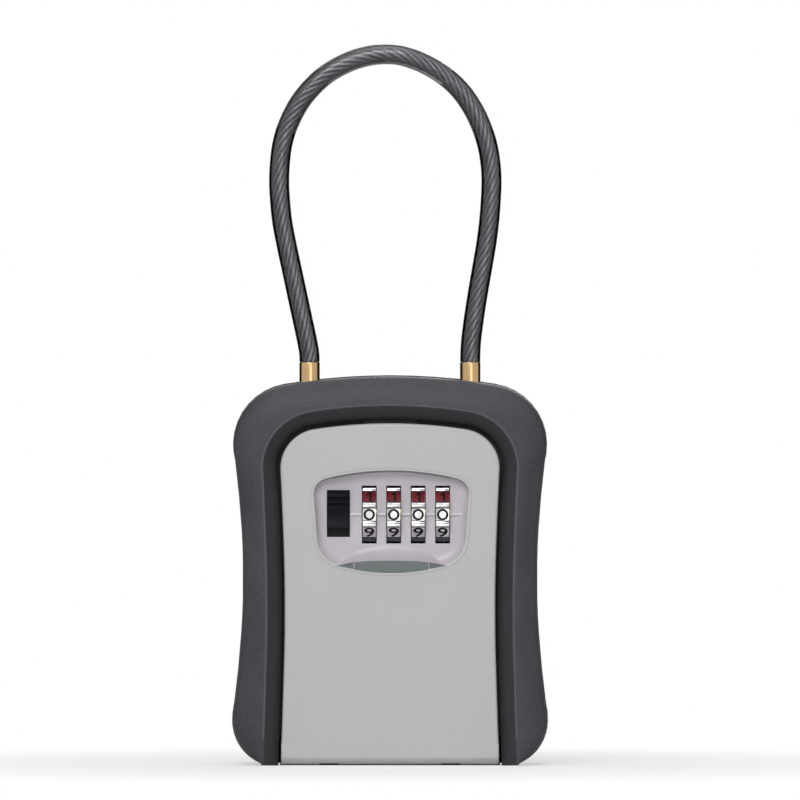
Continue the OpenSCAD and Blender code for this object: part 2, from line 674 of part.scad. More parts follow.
// Shape of the finger pull at the foot of the bezel: its lower edge, its front edge and its back
function lip_ring(t) = let (
    x = bezel_x + lip_w * t,
    full = 1 - t * t,
    low = bezel_low + 2.2 * t * t,
    high = bezel_low + 2.3 + 1.5 * full)
    [[x, floor_y + 0.4, low], [x, floor_y - 0.4, high + 3.2],
     [x, door_front - lip_out * sqrt(full), high], [x, door_front + 0.2, low]];
module finger_pull() {
    n = 4;
    m = 16;
    polyhedron(
        points = [for (k = [0:m]) each lip_ring(0.985 * (2 * k / m - 1))],
        faces = sleeve(m, n),
        convexity = 6);
}
module dial_bezel() {
    lug_back = axis_y + spindle_r + 1.3;
    color([0.76, 0.74, 0.77]) difference() {
        union() {
            difference() {
                union() {
                    plate(moved_in(bezel_outline, -0.7), door_front, door_back + 1);
                    plate(moved_in(bezel_outline, -rim_w), door_back, door_back + rim_t);
                    plate(bezel_outline, door_back, pan_back);
                }
                lofted([[moved_in(bezel_outline, 0.1), door_front - 0.1],
                    [moved_in(bezel_outline, 0.5), door_front + 0.9],
                    [moved_in(bezel_outline, 1.5), door_front + 2.2],
                    [moved_in(bezel_outline, 3.4), floor_y]]);
            }
            finger_pull();
            // Lugs of the spindle
            for (x = [left_lug - lug_t, right_lug])
                block([x, pan_back - eps, dial_z - 4.5], [x + lug_t, lug_back, dial_z + 4.5]);
            // Guide of the slide and the rests of the two springs
            block([slide_left - 1.3, pan_back - eps, dial_z - 7],
                [slide_left - 0.2, slide_front + slide_t, dial_z + 8]);
            block([button_x - button_rest_x, pan_back - eps, button_rest - rest_t],
                [button_x + button_rest_x, spring_y + 1.4, button_rest]);
            block([-2, pan_back - eps, bolt_rest - rest_t], [2, tab_front - gap, bolt_rest]);
            index_line();
        }
        for (i = [0:dial_count - 1])
            block([dial_x(i) - dial_w / 2 - dial_side, door_front - 3, dial_z - window_h / 2],
                [dial_x(i) + dial_w / 2 + dial_side, pan_back + eps, dial_z + window_h / 2]);
        block([button_x - button_w / 2, door_front - 3, button_z - button_h / 2],
            [button_x + button_w / 2, pan_back + eps, button_z + button_h / 2]);
        x_cylinder(axis_y, dial_z, spindle_r + run / 2, left_lug - lug_t - 1, right_lug + lug_t + 1);
        // Relief behind the web between two windows, for the flange of a code sleeve
        for (i = [0:dial_count - 1])
            x_cylinder(axis_y, dial_z, flange_r + gap, flange_x(i) - 0.2, flange_x(i) + flange_w + 0.2);
    }
}
module index_line() {
    block([button_x + button_w / 2, floor_y - 0.35, dial_z - 0.25],
        [bezel_right - 3.2, floor_y + eps, dial_z + 0.35]);
}
module door_seal() {
    color([0.08, 0.08, 0.08]) difference() {
        plate(moved_in(door_outline, 0.7), door_back, case_front - gap);
        plate(moved_in(door_outline, 2.1), door_back - 1, case_front);
        block([-60, door_back - 1, -30], [60, case_front, hinge_z + barrel_r + 1]);
        block([-keeper_w - 0.5, door_back - 1, door_top - 6], [keeper_w + 0.5, case_front, door_top + 1]);
    }
}
module mechanism_cover() {
    side = [bezel_x - cover_w, bezel_x + cover_w];
    color([0.5, 0.5, 0.52]) difference() {
        block([side[0], door_back + rim_t, cover_low], [side[1], cover_in + cover_t, cover_high]);
        block([side[0] + cover_t, door_back, cover_low + cover_t],
            [side[1] - cover_t, cover_in, cover_high - cover_t]);
        // Mouth for the bolt, slot for the change tab, screw holes
        block([-keeper_w - 0.4, door_back - 1, cover_high - cover_t - 1],
            [keeper_w + 0.4, bar_back + 0.8, cover_high + 1]);
        block([dials_mid - comb_grip / 2 - change_travel - 0.2, cover_in - 1, dial_z - 1.3],
            [dials_mid + comb_grip / 2 + 0.2, cover_in + cover_t + 1, dial_z + 1.3]);
        cover_screw_places() y_cylinder(0, 0, pass_r(cover_screw), cover_in - 1, cover_in + cover_t + 1);
    }
}
module cover_screws() {
    color([0.6, 0.6, 0.62]) cover_screw_places()
        translate([0, cover_in + cover_t, 0]) rotate([90, 0, 0]) screw(cover_screw);
}

// Spindle with a groove for a clip at each end
module spindle() {
    x0 = clip_end;
    x1 = right_lug + lug_t + clip_t + 0.6;
    color([0.75, 0.75, 0.77]) difference() {
        x_cylinder(axis_y, dial_z, spindle_r, x0, x1);
        for (x = [x0 + 0.45, x1 - 0.45 - clip_t - 0.1]) difference() {
            x_cylinder(axis_y, dial_z, spindle_r + 1, x, x + clip_t + 0.1);
            x_cylinder(axis_y, dial_z, spindle_r - 0.4, x - 1, x + clip_t + 1);
        }
    }
}
module spindle_clips() {
    color([0.4, 0.4, 0.42])
        for (x = [left_lug - lug_t - clip_t - 0.1, right_lug + lug_t + 0.1]) difference() {
            x_cylinder(axis_y, dial_z, clip_r, x, x + clip_t);
            x_cylinder(axis_y, dial_z, spindle_r - 0.35, x - 1, x + clip_t + 1);
        }
}
module sleeve_washers() {
    color([0.8, 0.75, 0.6]) for (i = [0:dial_count - 1]) {
        x = flange_x(i) + flange_w + 0.1;
        difference() {
            x_cylinder(axis_y, dial_z, spindle_r + 1, x, x + tooth_w + 0.3);
            x_cylinder(axis_y, dial_z, spindle_r + run, x - 1, x + tooth_w + 1);
        }
    }
}
// Strip with a finger under each dial
module detent_spring() {
    low = dial_z - 14;
    t = 0.4;
    tip = dial_z - dial_r - 0.15;
    finger = [[pan_back, low], [pan_back + t, low], [pan_back + t, low + 2.2], [axis_y + 0.6, tip - 0.35 - t],
        [axis_y + 0.6, tip - 0.35], [axis_y, tip], [axis_y - 0.6, tip - 0.35], [pan_back, low + 2.7]];
    color([0.8, 0.8, 0.82]) {
        for (i = [0:dial_count - 1])
            translate([dial_x(i) - 1.3, 0, 0]) rotate([90, 0, 90]) linear_extrude(2.6) polygon(finger);
        block([dial_x(0) - 1.3, pan_back, low - 0.3],
            [dial_x(dial_count - 1) + 1.3, pan_back + t, low + 2]);
    }
}

// Number dial: a round body with ten flats between its ridges, and a keyway in its bore
module dial(i) {
    color([0.8, 0.8, 0.82]) translate([dial_x(i), axis_y, dial_z]) difference() {
        x_cylinder(0, 0, dial_r, -dial_w / 2, dial_w / 2);
        for (k = [0:9]) rotate([36 * k, 0, 0])
            block([-dial_w, -dial_r - 1, -dial_r * 0.23], [dial_w, -dial_r + flat_cut, dial_r * 0.23]);
        x_cylinder(0, 0, sleeve_r + run, -dial_w, dial_w);
        block([-dial_w, -0.55, 0], [dial_w, 0.55, sleeve_r + 0.75]);
    }
}
// Code sleeve: it turns with its dial through the key, and its flange carries the gate
module code_sleeve(i) {
    x0 = -dial_w / 2;
    x1 = dial_w / 2 + flange_off;
    x2 = x1 + flange_w;
    color([0.85, 0.72, 0.42]) translate([dial_x(i), axis_y, dial_z]) difference() {
        union() {
            x_cylinder(0, 0, sleeve_r, x0, x2);
            x_cylinder(0, 0, flange_r, x1, x2);
            block([x0, -0.45, sleeve_r - 0.6], [x1 + eps, 0.45, sleeve_r + 0.6]);
        }
        x_cylinder(0, 0, spindle_r + run, x0 - 1, x2 + 1);
        for (a = [0, 90, 270]) rotate([a, 0, 0])
            block([x1 - eps, -gate_w / 2, gate_floor], [x2 + 1, gate_w / 2, flange_r + 1]);
    }
}

module button_knob() {
    top = button_z + button_h / 2 - 0.65;
    low = top - knob_h;
    face = floor_y - 1.5;
    // Section of the knob: a lip, two grooves with a ridge between them, and a long dished face
    section = [
        [slide_front, low], [face, low], [face, low + 0.8], [face + 0.7, low + 2.2],
        [face + 0.8, low + 4.4], [face + 0.2, low + 6.2], [face + 0.9, low + 6.7], [face + 0.9, low + 7.2],
        [face, low + 7.5], [face, low + 8.2], [face + 0.9, low + 8.5], [face + 0.9, low + 9],
        [face, low + 9.3], [face, top], [slide_front, top]];
    color([0.1, 0.1, 0.11]) translate([button_x - button_w / 2 + 0.15, 0, 0]) rotate([90, 0, 90])
        linear_extrude(button_w - gap) polygon(section);
}
// Slide behind the knob: its bar carries a finger over each sleeve and the pin that draws the bolt
module fence_slide() {
    color([0.6, 0.6, 0.63]) union() {
        difference() {
            block([slide_left, slide_front, dial_z - 7], [slide_right, slide_front + slide_t, bar_high]);
            // Room for the clip of the spindle, where small dials bring it forward
            block([clip_end - gap, axis_y - clip_r - gap + eps, dial_z - clip_r - gap],
                [slide_right + 1, axis_y, dial_z + clip_r + button_travel + gap]);
        }
        block([slide_left, slide_front, bar_low], [slide_right - 1, bar_back, bar_high]);
        block([slide_left, bar_front, bar_low], [flange_x(dial_count - 1) + flange_w + 0.4, bar_back, bar_high]);
        for (i = [0:dial_count - 1]) let (x = flange_x(i) + run)
            block([x, axis_y - fence_t / 2, dial_z + flange_r + gap],
                [x + flange_w - 2 * run, axis_y + fence_t / 2, bar_low + eps]);
        block([-2, tab_front, bar_low], [2, bar_front + 1, bolt_pin_z + 1.5]);
        y_cylinder(0, bolt_pin_z, bolt_pin_r, bolt_front, tab_front + eps);
    }
}
module button_spring() {
    color([0.8, 0.8, 0.82]) translate([button_x, spring_y, button_rest])
        coil(button_spring_d, 0.35, dial_z - 7 - button_rest, 6);
}
// Bolt with a slot, so that it can spring back when the door is pushed shut
module bolt() {
    slope = 1.2;
    side = [[bolt_front, bolt_low], [bolt_front + bolt_t, bolt_low], [bolt_front + bolt_t, bolt_high - slope],
        [bolt_front + bolt_t - slope, bolt_high], [bolt_front, bolt_high]];
    color([0.7, 0.7, 0.72]) difference() {
        translate([-bolt_w, 0, 0]) rotate([90, 0, 90]) linear_extrude(2 * bolt_w) polygon(side);
        block([-bolt_pin_r - 0.1, bolt_front - 1, bolt_pin_z - button_travel - bolt_pin_r - run],
            [bolt_pin_r + 0.1, bolt_front + bolt_t + 1, bolt_pin_z + bolt_pin_r + 0.2]);
    }
}
module bolt_spring() {
    color([0.8, 0.8, 0.82]) translate([0, bolt_spring_y, bolt_rest])
        coil(bolt_spring_d, 0.3, bolt_low - bolt_rest, 5);
}
// Comb whose teeth slip sideways into the notches of the sleeves while the code is changed
module change_comb() {
    first_x = flange_x(0) + flange_w + 0.25;
    last_x = first_x + (dial_count - 1) * dial_pitch + tooth_w;
    color([0.7, 0.7, 0.72]) union() {
        block([first_x - 0.5, comb_front, dial_z - 2], [last_x + 0.4, comb_back, dial_z + 2]);
        for (i = [0:dial_count - 1]) translate([i * dial_pitch, 0, 0])
            block([first_x, axis_y + gate_floor + 0.5, dial_z - 0.9],
                [first_x + tooth_w, comb_front + eps, dial_z + 0.9]);
        block([dials_mid - comb_grip / 2 + 0.5, comb_back - eps, dial_z - 1],
            [dials_mid + comb_grip / 2, cover_in + cover_t + 0.1, dial_z + 1]);
    }
}
module change_tab() {
    y0 = cover_in + cover_t + 0.1;
    color([0.12, 0.12, 0.13]) difference() {
        block([dials_mid - comb_grip, y0, dial_z - 3], [dials_mid + comb_grip, y0 + 1.6, dial_z + 3]);
        for (k = [-2:2]) translate([dials_mid + 1.5 * k, y0 + 1.6, dial_z - 4]) cylinder(r = 0.4, h = 8);
    }
}

case_shell();
back_plate();
surround();
surround_screws();
back_pad();
hinge_pin();
keeper();
keeper_screws();
release_retainer();
retainer_screws();
release_spring();
release_plate();
release_tab();
cable_jacket();
wire_rope();
ferrule_left();
ferrule_right();
door_panel();
dial_bezel();
door_seal();
mechanism_cover();
cover_screws();
spindle();
spindle_clips();
sleeve_washers();
detent_spring();
button_knob();
fence_slide();
button_spring();
bolt();
bolt_spring();
change_comb();
change_tab();
for (i = [0:dial_count - 1]) {
    dial(i);
    code_sleeve(i);
}
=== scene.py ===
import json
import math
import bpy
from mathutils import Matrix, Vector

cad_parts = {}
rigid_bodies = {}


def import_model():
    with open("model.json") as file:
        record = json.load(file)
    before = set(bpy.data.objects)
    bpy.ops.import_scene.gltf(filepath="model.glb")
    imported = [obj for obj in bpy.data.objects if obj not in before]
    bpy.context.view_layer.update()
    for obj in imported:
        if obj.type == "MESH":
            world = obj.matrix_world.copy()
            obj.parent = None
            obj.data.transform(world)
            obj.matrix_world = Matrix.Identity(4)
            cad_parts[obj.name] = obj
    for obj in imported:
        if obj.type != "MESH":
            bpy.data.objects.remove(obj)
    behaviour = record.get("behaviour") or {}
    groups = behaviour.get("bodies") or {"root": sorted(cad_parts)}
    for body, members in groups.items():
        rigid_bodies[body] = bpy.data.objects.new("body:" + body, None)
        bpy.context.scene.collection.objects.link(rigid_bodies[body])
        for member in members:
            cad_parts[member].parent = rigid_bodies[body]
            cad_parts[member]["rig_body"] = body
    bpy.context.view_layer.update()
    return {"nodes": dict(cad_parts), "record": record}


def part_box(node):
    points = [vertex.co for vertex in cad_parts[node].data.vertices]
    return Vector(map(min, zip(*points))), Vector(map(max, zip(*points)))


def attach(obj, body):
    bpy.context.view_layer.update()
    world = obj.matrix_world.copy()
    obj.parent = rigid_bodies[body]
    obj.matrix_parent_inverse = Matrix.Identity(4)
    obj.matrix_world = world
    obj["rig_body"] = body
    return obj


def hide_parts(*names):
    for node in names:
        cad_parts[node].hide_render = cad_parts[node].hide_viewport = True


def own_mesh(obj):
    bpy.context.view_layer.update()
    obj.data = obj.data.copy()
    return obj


bl_info = {
    "name": "Combination Key Safe",
    "version": (1, 0, 0),
    "blender": (4, 5, 0),
    "location": "View3D > Sidebar > Key Safe",
    "description": "Builds a key safe with number dials, a drop-down door and a cable shackle",
    "category": "Object",
}

from contextlib import contextmanager

import bmesh
import bpy
from bpy.props import FloatProperty, FloatVectorProperty, IntProperty, PointerProperty
from bpy.types import Operator, Panel, PropertyGroup
from mathutils import Vector

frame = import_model()

# Lengths below are in millimetres, and mesh points are turned to metres as they are set
MM = 0.001


def cad_box(node):
    """Lowest and highest corner of a construction node, in millimetres."""
    low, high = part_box(node)
    return low / MM, high / MM


def linear(code):
    """Linear colour of an sRGB hex value."""
    parts = [int(code[k:k + 2], 16) / 255 for k in (0, 2, 4)]
    return tuple(c / 12.92 if c <= 0.04045 else ((c + 0.055) / 1.055) ** 2.4 for c in parts)


# Planes through the depth of the body, from front to back
FRONT = cad_box("surround")[0].y
SURROUND_BACK = cad_box("surround")[1].y
DOOR_FRONT = cad_box("door_panel")[0].y
DOOR_BACK = DOOR_FRONT + 2
CHAMFER = FRONT + 3.8
CASE_FRONT = FRONT + 6.4

# Outline of the body and of the door
BODY_H = cad_box("case_shell")[1].z
SHOULDER_W = 46.6
SHOULDER_R = 18.2
SHOULDER_Z = BODY_H - 20.5
WAIST_W = 43.7
WAIST_LOW = 50
WAIST_HIGH = 60
FOOT_W = 46.9
FOOT_R = 13.2
LEAN = 8
DOOR_TOP = cad_box("door_panel")[1].z
DOOR_TOP_W = 32.3
DOOR_WAIST_W = 31
DOOR_FOOT_W = 32.2
DOOR_R = 11.7
DOOR_CORNER_Z = DOOR_TOP - 13.3
DOOR_GAP = 0.7
CREASE_OUT = 5.2
HINGE_Y = DOOR_FRONT + 3.4
HINGE_Z = 4.2
BARREL_R = 3.85

# Dials, button and the bezel round them
DIAL_R = 9.5
DIAL_W = 3.9
DIAL_COUNT = 4
DIAL_Z = 73.9
AXIS_Y = DOOR_FRONT - 0.2 + DIAL_R
DIALS = [cad_box(f"dial_{k + 1}") for k in range(DIAL_COUNT)]
BEZEL = cad_box("dial_bezel")
BEZEL_FOOT = DIAL_Z - 17.2
# Flange of the bezel, hidden behind the door, and the room round a dial in its window
FLANGE = 2
WINDOW_GAP = 0.235
BUTTON = cad_box("button_knob")


def arc(cx, cz, r, a0, a1, steps):
    turns = [math.radians(a0 + (a1 - a0) * k / steps) for k in range(steps + 1)]
    return [(cx + r * math.cos(a), cz + r * math.sin(a)) for a in turns]


def crown(cx, cz, r, top, a0, steps, flat_steps):
    """Right half of a crown: a corner arc that runs without a kink into a flat arch."""
    rise = top - cz - r
    reach = (cx * cx + rise * rise) / (2 * rise)
    a1 = math.degrees(math.atan2(reach - rise, cx))
    flat = arc(0, top - reach - r, reach + r, a1, 90, flat_steps)
    return arc(cx, cz, r, a0, a1, steps) + flat[1:]


def mirrored(half):
    return half + [(-x, z) for x, z in reversed(half) if x > 0.01]


def side_w(z):
    if z < WAIST_LOW:
        return WAIST_W + (FOOT_W - WAIST_W) * ((WAIST_LOW - z) / (WAIST_LOW - FOOT_R)) ** 1.6
    return WAIST_W + (SHOULDER_W - WAIST_W) * (max(0, z - WAIST_HIGH) / (SHOULDER_Z - WAIST_HIGH)) ** 1.6


def door_w(z):
    if z < 40:
        return DOOR_WAIST_W + (DOOR_FOOT_W - DOOR_WAIST_W) * min(1, (40 - z) / 40) ** 1.2
    share = min(1, max(0, z - 50) / (DOOR_CORNER_Z - 50))
    return DOOR_WAIST_W + (DOOR_TOP_W - DOOR_WAIST_W) * share ** 1.5


def moved_in(points, d):
    """Open outline moved inwards by d, or outwards where d is below 0."""
    made = []
    for k, (x, z) in enumerate(points):
        before, after = points[max(k - 1, 0)], points[min(k + 1, len(points) - 1)]
        along = Vector((after[0] - before[0], after[1] - before[1])).normalized()
        made.append((x - along.y * d, z + along.x * d))
    return made


FOOT_STEPS = 22
SIDE_STEPS = 40
CORNER_STEPS = 22
FLAT_STEPS = 14


def heights(top):
    low = FOOT_R + 5
    return [low + k * (top - 10 - FOOT_R) / SIDE_STEPS for k in range(SIDE_STEPS + 1)]


def body_line():
    """Outline of the body from its right foot over the top to its left foot."""
    start = math.degrees(math.asin(-1 + 0.69 / FOOT_R))
    return mirrored(
        arc(FOOT_W - FOOT_R, FOOT_R, FOOT_R, start, LEAN, FOOT_STEPS)
        + [(side_w(z), z) for z in heights(SHOULDER_Z)]
        + crown(SHOULDER_W - SHOULDER_R, SHOULDER_Z, SHOULDER_R, BODY_H, -LEAN, CORNER_STEPS, FLAT_STEPS))


def door_line(foot=0.0):
    """Outline of the door, whose points pair up with those of the body."""
    lows = [foot + k * (FOOT_R - foot) / FOOT_STEPS for k in range(FOOT_STEPS + 1)]
    return mirrored(
        [(door_w(z), z) for z in lows]
        + [(door_w(z), z) for z in heights(DOOR_CORNER_Z)]
        + crown(DOOR_TOP_W - DOOR_R, DOOR_CORNER_Z, DOOR_R, DOOR_TOP, 0, CORNER_STEPS, FLAT_STEPS))


def bezel_line(inset):
    """Outline of the bezel, moved inwards: a flat arch above, a deeper one below."""
    mid = (BEZEL[0].x + BEZEL[1].x) / 2
    half = (BEZEL[1].x - BEZEL[0].x) / 2 - FLANGE
    foot = -BEZEL_FOOT - inset
    top = DIAL_Z + 12.9 - inset
    low_half = [(x, -z) for x, z in crown(half - 9.4, -(DIAL_Z - 6.7), 8.5 - inset, foot, 0, 20, 12)]
    high_half = crown(half - 5, DIAL_Z + 5.7, 5 - inset, top, 0, 20, 12)
    right = list(reversed(low_half)) + high_half
    return [(mid + x, z) for x, z in right + [(-x, z) for x, z in reversed(right[1:-1])]]


# Working with objects

def alone(piece=None):
    """Deselects everything, then selects the piece alone, if one is given."""
    bpy.ops.object.select_all(action="DESELECT")
    if piece is not None:
        piece.select_set(True)
        bpy.context.view_layer.objects.active = piece


@contextmanager
def edit_mode(piece):
    """Edit mode with the whole piece selected."""
    alone(piece)
    bpy.ops.object.mode_set(mode="EDIT")
    bpy.ops.mesh.select_all(action="SELECT")
    yield
    bpy.ops.object.mode_set(mode="OBJECT")


def named(name):
    """Names the primitive that was just added."""
    bpy.context.object.name = name
    return bpy.context.object


def move_points(piece, points):
    """Sets the selected points in edit mode by their number in the first ring."""
    mesh = bmesh.from_edit_mesh(piece.data)
    spot = mesh.verts.layers.int["spot"]
    for vert in mesh.verts:
        if vert.select:
            vert.co = Vector(points[vert[spot]]) * MM
    bmesh.update_edit_mesh(piece.data)


def skin(name, rings, frame_like=False):
    """Skin extruded from ring to ring; its ends are capped, or joined to each other in a frame."""
    alone()
    bpy.ops.mesh.primitive_circle_add(vertices=len(rings[0]), radius=MM)
    piece = named(name)
    spot = piece.data.attributes.new("spot", "INT", "POINT")
    spot.data.foreach_set("value", list(range(len(rings[0]))))
    with edit_mode(piece):
        move_points(piece, rings[0])
        for ring in list(rings[1:]) + ([rings[0]] if frame_like else []):
            bpy.ops.mesh.extrude_edges_indiv()
            move_points(piece, ring)
        if frame_like:
            bpy.ops.mesh.select_all(action="SELECT")
            bpy.ops.mesh.remove_doubles(threshold=MM * 1e-3)
        else:
            # Caps the last ring, then the first one, whose hole is all that is left open
            bpy.ops.mesh.edge_face_add()
            bpy.ops.mesh.select_all(action="DESELECT")
            bpy.ops.mesh.select_non_manifold()
            bpy.ops.mesh.edge_face_add()
        bpy.ops.mesh.select_all(action="SELECT")
        bpy.ops.mesh.normals_make_consistent(inside=False)
    piece.data.attributes.remove(piece.data.attributes["spot"])
    return piece


def box(name, low, high):
    """Box between two corners in millimetres."""
    alone()
    low, high = Vector(low) * MM, Vector(high) * MM
    bpy.ops.mesh.primitive_cube_add(size=1, location=(low + high) / 2, scale=high - low)
    piece = named(name)
    bpy.ops.object.transform_apply(location=True, rotation=True, scale=True)
    return piece


def rod(name, start, axis, r, length, sides=64):
    """Cylinder from a start point along X, Y or Z."""
    alone()
    turn = {"X": (0, math.pi / 2, 0), "Y": (-math.pi / 2, 0, 0), "Z": (0, 0, 0)}[axis]
    step = {"X": Vector((1, 0, 0)), "Y": Vector((0, 1, 0)), "Z": Vector((0, 0, 1))}[axis]
    bpy.ops.mesh.primitive_cylinder_add(
        vertices=sides, radius=r * MM, depth=length * MM,
        location=(Vector(start) + step * length / 2) * MM, rotation=turn)
    piece = named(name)
    bpy.ops.object.transform_apply(location=True, rotation=True, scale=True)
    return piece


def modified(piece, kind, **settings):
    """Adds a modifier and applies it."""
    alone(piece)
    made = piece.modifiers.new("step", kind)
    for key, value in settings.items():
        setattr(made, key, value)
    bpy.ops.object.modifier_apply(modifier=made.name)
    return piece


def cut(piece, cutter):
    """Cuts the piece with another, which is used up."""
    modified(piece, "BOOLEAN", operation="DIFFERENCE", object=cutter, solver="MANIFOLD",
             material_mode="TRANSFER")
    bpy.data.objects.remove(cutter)
    return piece


def bevelled(piece, width, angle=35, segments=2):
    return modified(
        piece, "BEVEL", width=width * MM, segments=segments, limit_method="ANGLE",
        angle_limit=math.radians(angle), harden_normals=False, use_clamp_overlap=True)


def joined(pieces, name):
    alone(pieces[0])
    for piece in pieces:
        piece.select_set(True)
    bpy.ops.object.join()
    pieces[0].name = name
    return pieces[0]


def copied(piece, name):
    made = piece.copy()
    made.data = piece.data.copy()
    bpy.context.scene.collection.objects.link(made)
    made.name = name
    return made


def shifted(piece, by):
    """Moves the mesh of a piece, whose object stays at the origin."""
    with edit_mode(piece):
        bpy.ops.transform.translate(value=Vector(by) * MM)
    return piece


def smooth(piece, angle=30):
    alone(piece)
    bpy.ops.object.shade_smooth_by_angle(angle=math.radians(angle))
    return piece


def finished(piece, body, slot, *replaced):
    """Lets the piece ride on its body, in place of the construction nodes, which it hides; its slot is not
    used.
    """
    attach(piece, body)
    if replaced:
        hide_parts(*replaced)
    return piece


def refined(node, finish, bevel, angle=30):
    """Merged copy of a construction node with broken edges, in place of the node."""
    source = frame["nodes"][node]
    piece = copied(source, node + "_finish")
    for key in [k for k in piece.keys() if k.startswith("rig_")]:
        del piece[key]
    piece.parent = None
    coated(piece, finish)
    with edit_mode(piece):
        bpy.ops.mesh.remove_doubles(threshold=MM * 2e-3)
        bpy.ops.mesh.dissolve_limited(angle_limit=math.radians(1))
    if bevel:
        bevelled(piece, bevel, angle=40)
    smooth(piece, angle)
    if bevel:
        # Keeps the shading of a flat face flat beside its broken edges
        modified(piece, "WEIGHTED_NORMAL", weight=100, keep_sharp=True)
    slots = {part["node"]: part["material_slot"] for part in frame["record"]["subparts"]}
    return finished(piece, source["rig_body"], slots[node], node)


def refine_all(*rows):
    """Refines nodes, each given with its finish and the width of its broken edges."""
    for node, finish, bevel in rows:
        refined(node, finish, bevel)


# Materials

MATERIALS = {}


def add_node(tree, kind, inputs=(), **settings):
    """Adds a node; inputs gives sockets a value or another node's output."""
    made = tree.nodes.new("ShaderNode" + kind)
    for key, value in settings.items():
        setattr(made, key, value)
    for socket, value in dict(inputs).items():
        if isinstance(value, bpy.types.NodeSocket):
            tree.links.new(value, made.inputs[socket])
        else:
            made.inputs[socket].default_value = value
    return made


def new_material(name, **constants):
    """Material with a principled shader, its constant sockets set, and object coordinates."""
    made = MATERIALS[name] = bpy.data.materials.new(name)
    made.use_nodes = True
    tree = made.node_tree
    shader = tree.nodes["Principled BSDF"]
    for key, value in constants.items():
        shader.inputs[key.replace("_", " ")].default_value = value
    place = add_node(tree, "TexCoord").outputs["Object"]
    return tree, shader, place


def pattern_on(tree, shader, share, relief, dark, light, gloss, depth):
    """Runs the colour and the roughness along a pattern, with a relief of a depth in millimetres."""
    low, high = 0.3, 0.7
    ramp = add_node(tree, "ValToRGB", {"Fac": share})
    for stop, place, colour in zip(ramp.color_ramp.elements, (low, high), (dark, light)):
        stop.position = place
        stop.color = (*colour, 1)
    tree.links.new(ramp.outputs["Color"], shader.inputs["Base Color"])
    if gloss:
        rough = add_node(tree, "MapRange", {
            "Value": share, "From Min": low, "From Max": high, "To Min": gloss[0], "To Max": gloss[1]})
        tree.links.new(rough.outputs[0], shader.inputs["Roughness"])
    bump = add_node(tree, "Bump", {"Height": relief, "Strength": 1.0, "Distance": depth * MM})
    tree.links.new(bump.outputs["Normal"], shader.inputs["Normal"])


def moulded_plastic(name, dark, light, grain, depth, roughness, **constants):
    """Moulded plastic with an eroded grain of a given size in millimetres."""
    tree, shader, place = new_material(name, **constants)
    fine = add_node(tree, "TexNoise", {"Vector": place, "Scale": 1 / (grain * MM), "Detail": 3})
    broad = add_node(tree, "TexNoise", {"Vector": place, "Scale": 1 / (14 * MM), "Detail": 1})
    share = add_node(tree, "Math", {0: fine.outputs["Fac"], 1: 0.65}, operation="MULTIPLY")
    total = add_node(tree, "Math", {0: broad.outputs["Fac"], 1: 0.35, 2: share.outputs[0]},
                     operation="MULTIPLY_ADD")
    pattern_on(tree, shader, total.outputs[0], fine.outputs["Fac"], dark, light,
               (roughness - 0.05, roughness + 0.05), depth)


def metal(name, dark, light, streak, roughness, depth, axis="X"):
    """Metal with fine streaks from its making, drawn out along one axis."""
    tree, shader, place = new_material(name, Metallic=1.0)
    stretch = {"X": (0.08, 1, 1), "Y": (1, 0.08, 1), "Z": (1, 1, 0.08), "": (1, 1, 1)}[axis]
    mapped = add_node(tree, "Mapping", {"Vector": place, "Scale": stretch})
    lines = add_node(tree, "TexNoise", {
        "Vector": mapped.outputs[0], "Scale": 1 / (streak * MM), "Detail": 4})
    pattern_on(tree, shader, lines.outputs["Fac"], lines.outputs["Fac"], dark, light,
               (roughness * 0.75, roughness * 1.3), depth)


def cable_sheath():
    """Clear PVC sheath, tinted smoky black: the rope shows through it, and its edges look dark."""
    # Its IOR is set below that of PVC, which is about 1.54, to bring its edges nearer the real cable's
    tree, shader, place = new_material(
        "smoky_pvc_sheath", Metallic=0.0, IOR=1.43, Transmission_Weight=1.0, Roughness=0.08)
    mottle = add_node(tree, "TexNoise", {"Vector": place, "Scale": 1 / (5 * MM), "Detail": 2})
    pattern_on(tree, shader, mottle.outputs["Fac"], mottle.outputs["Fac"], linear("f2f2f4"),
               linear("fafafc"), None, 0.02)
    # Through its 1.4 mm wall, there and back, the sheath takes most of the light
    smoke = add_node(tree, "VolumeAbsorption", {"Color": (*linear("7c7c80"), 1), "Density": 0.62 / MM})
    tree.links.new(smoke.outputs[0], tree.nodes["Material Output"].inputs["Volume"])


class Finishes(PropertyGroup):
    surround: FloatVectorProperty(
        name="Surround", description="Colour of the moulded surround", subtype="COLOR",
        default=linear("434247"))
    door: FloatVectorProperty(
        name="Door", description="Colour of the painted door", subtype="COLOR", default=linear("c0bfc0"))
    bezel: FloatVectorProperty(
        name="Bezel", description="Colour of the dial bezel", subtype="COLOR", default=linear("c3bdc3"))
    # Its colour is the painted shade under the finger pull and along the top of the dish
    pull: FloatVectorProperty(
        name="Finger pull", description="Colour of the face under the finger pull", subtype="COLOR",
        default=linear("788080"))
    button: FloatVectorProperty(
        name="Button", description="Colour of the opening button", subtype="COLOR", default=linear("17161f"))
    brass: FloatVectorProperty(
        name="Brass", description="Colour of the ferrules", subtype="COLOR", default=linear("bd9f74"))


class Sizes(PropertyGroup):
    grain: FloatProperty(
        name="Grain", description="Grain of the surround's mould", default=0.5 * MM, min=0.1 * MM,
        max=2 * MM, precision=5, subtype="DISTANCE", unit="LENGTH")
    strands: IntProperty(
        name="Strands", description="Strands in the wire rope", default=6, min=3, max=12)
    lay: FloatProperty(
        name="Lay", description="Length of one whole turn of a strand", default=19 * MM, min=5 * MM,
        max=60 * MM, precision=4, subtype="DISTANCE", unit="LENGTH")


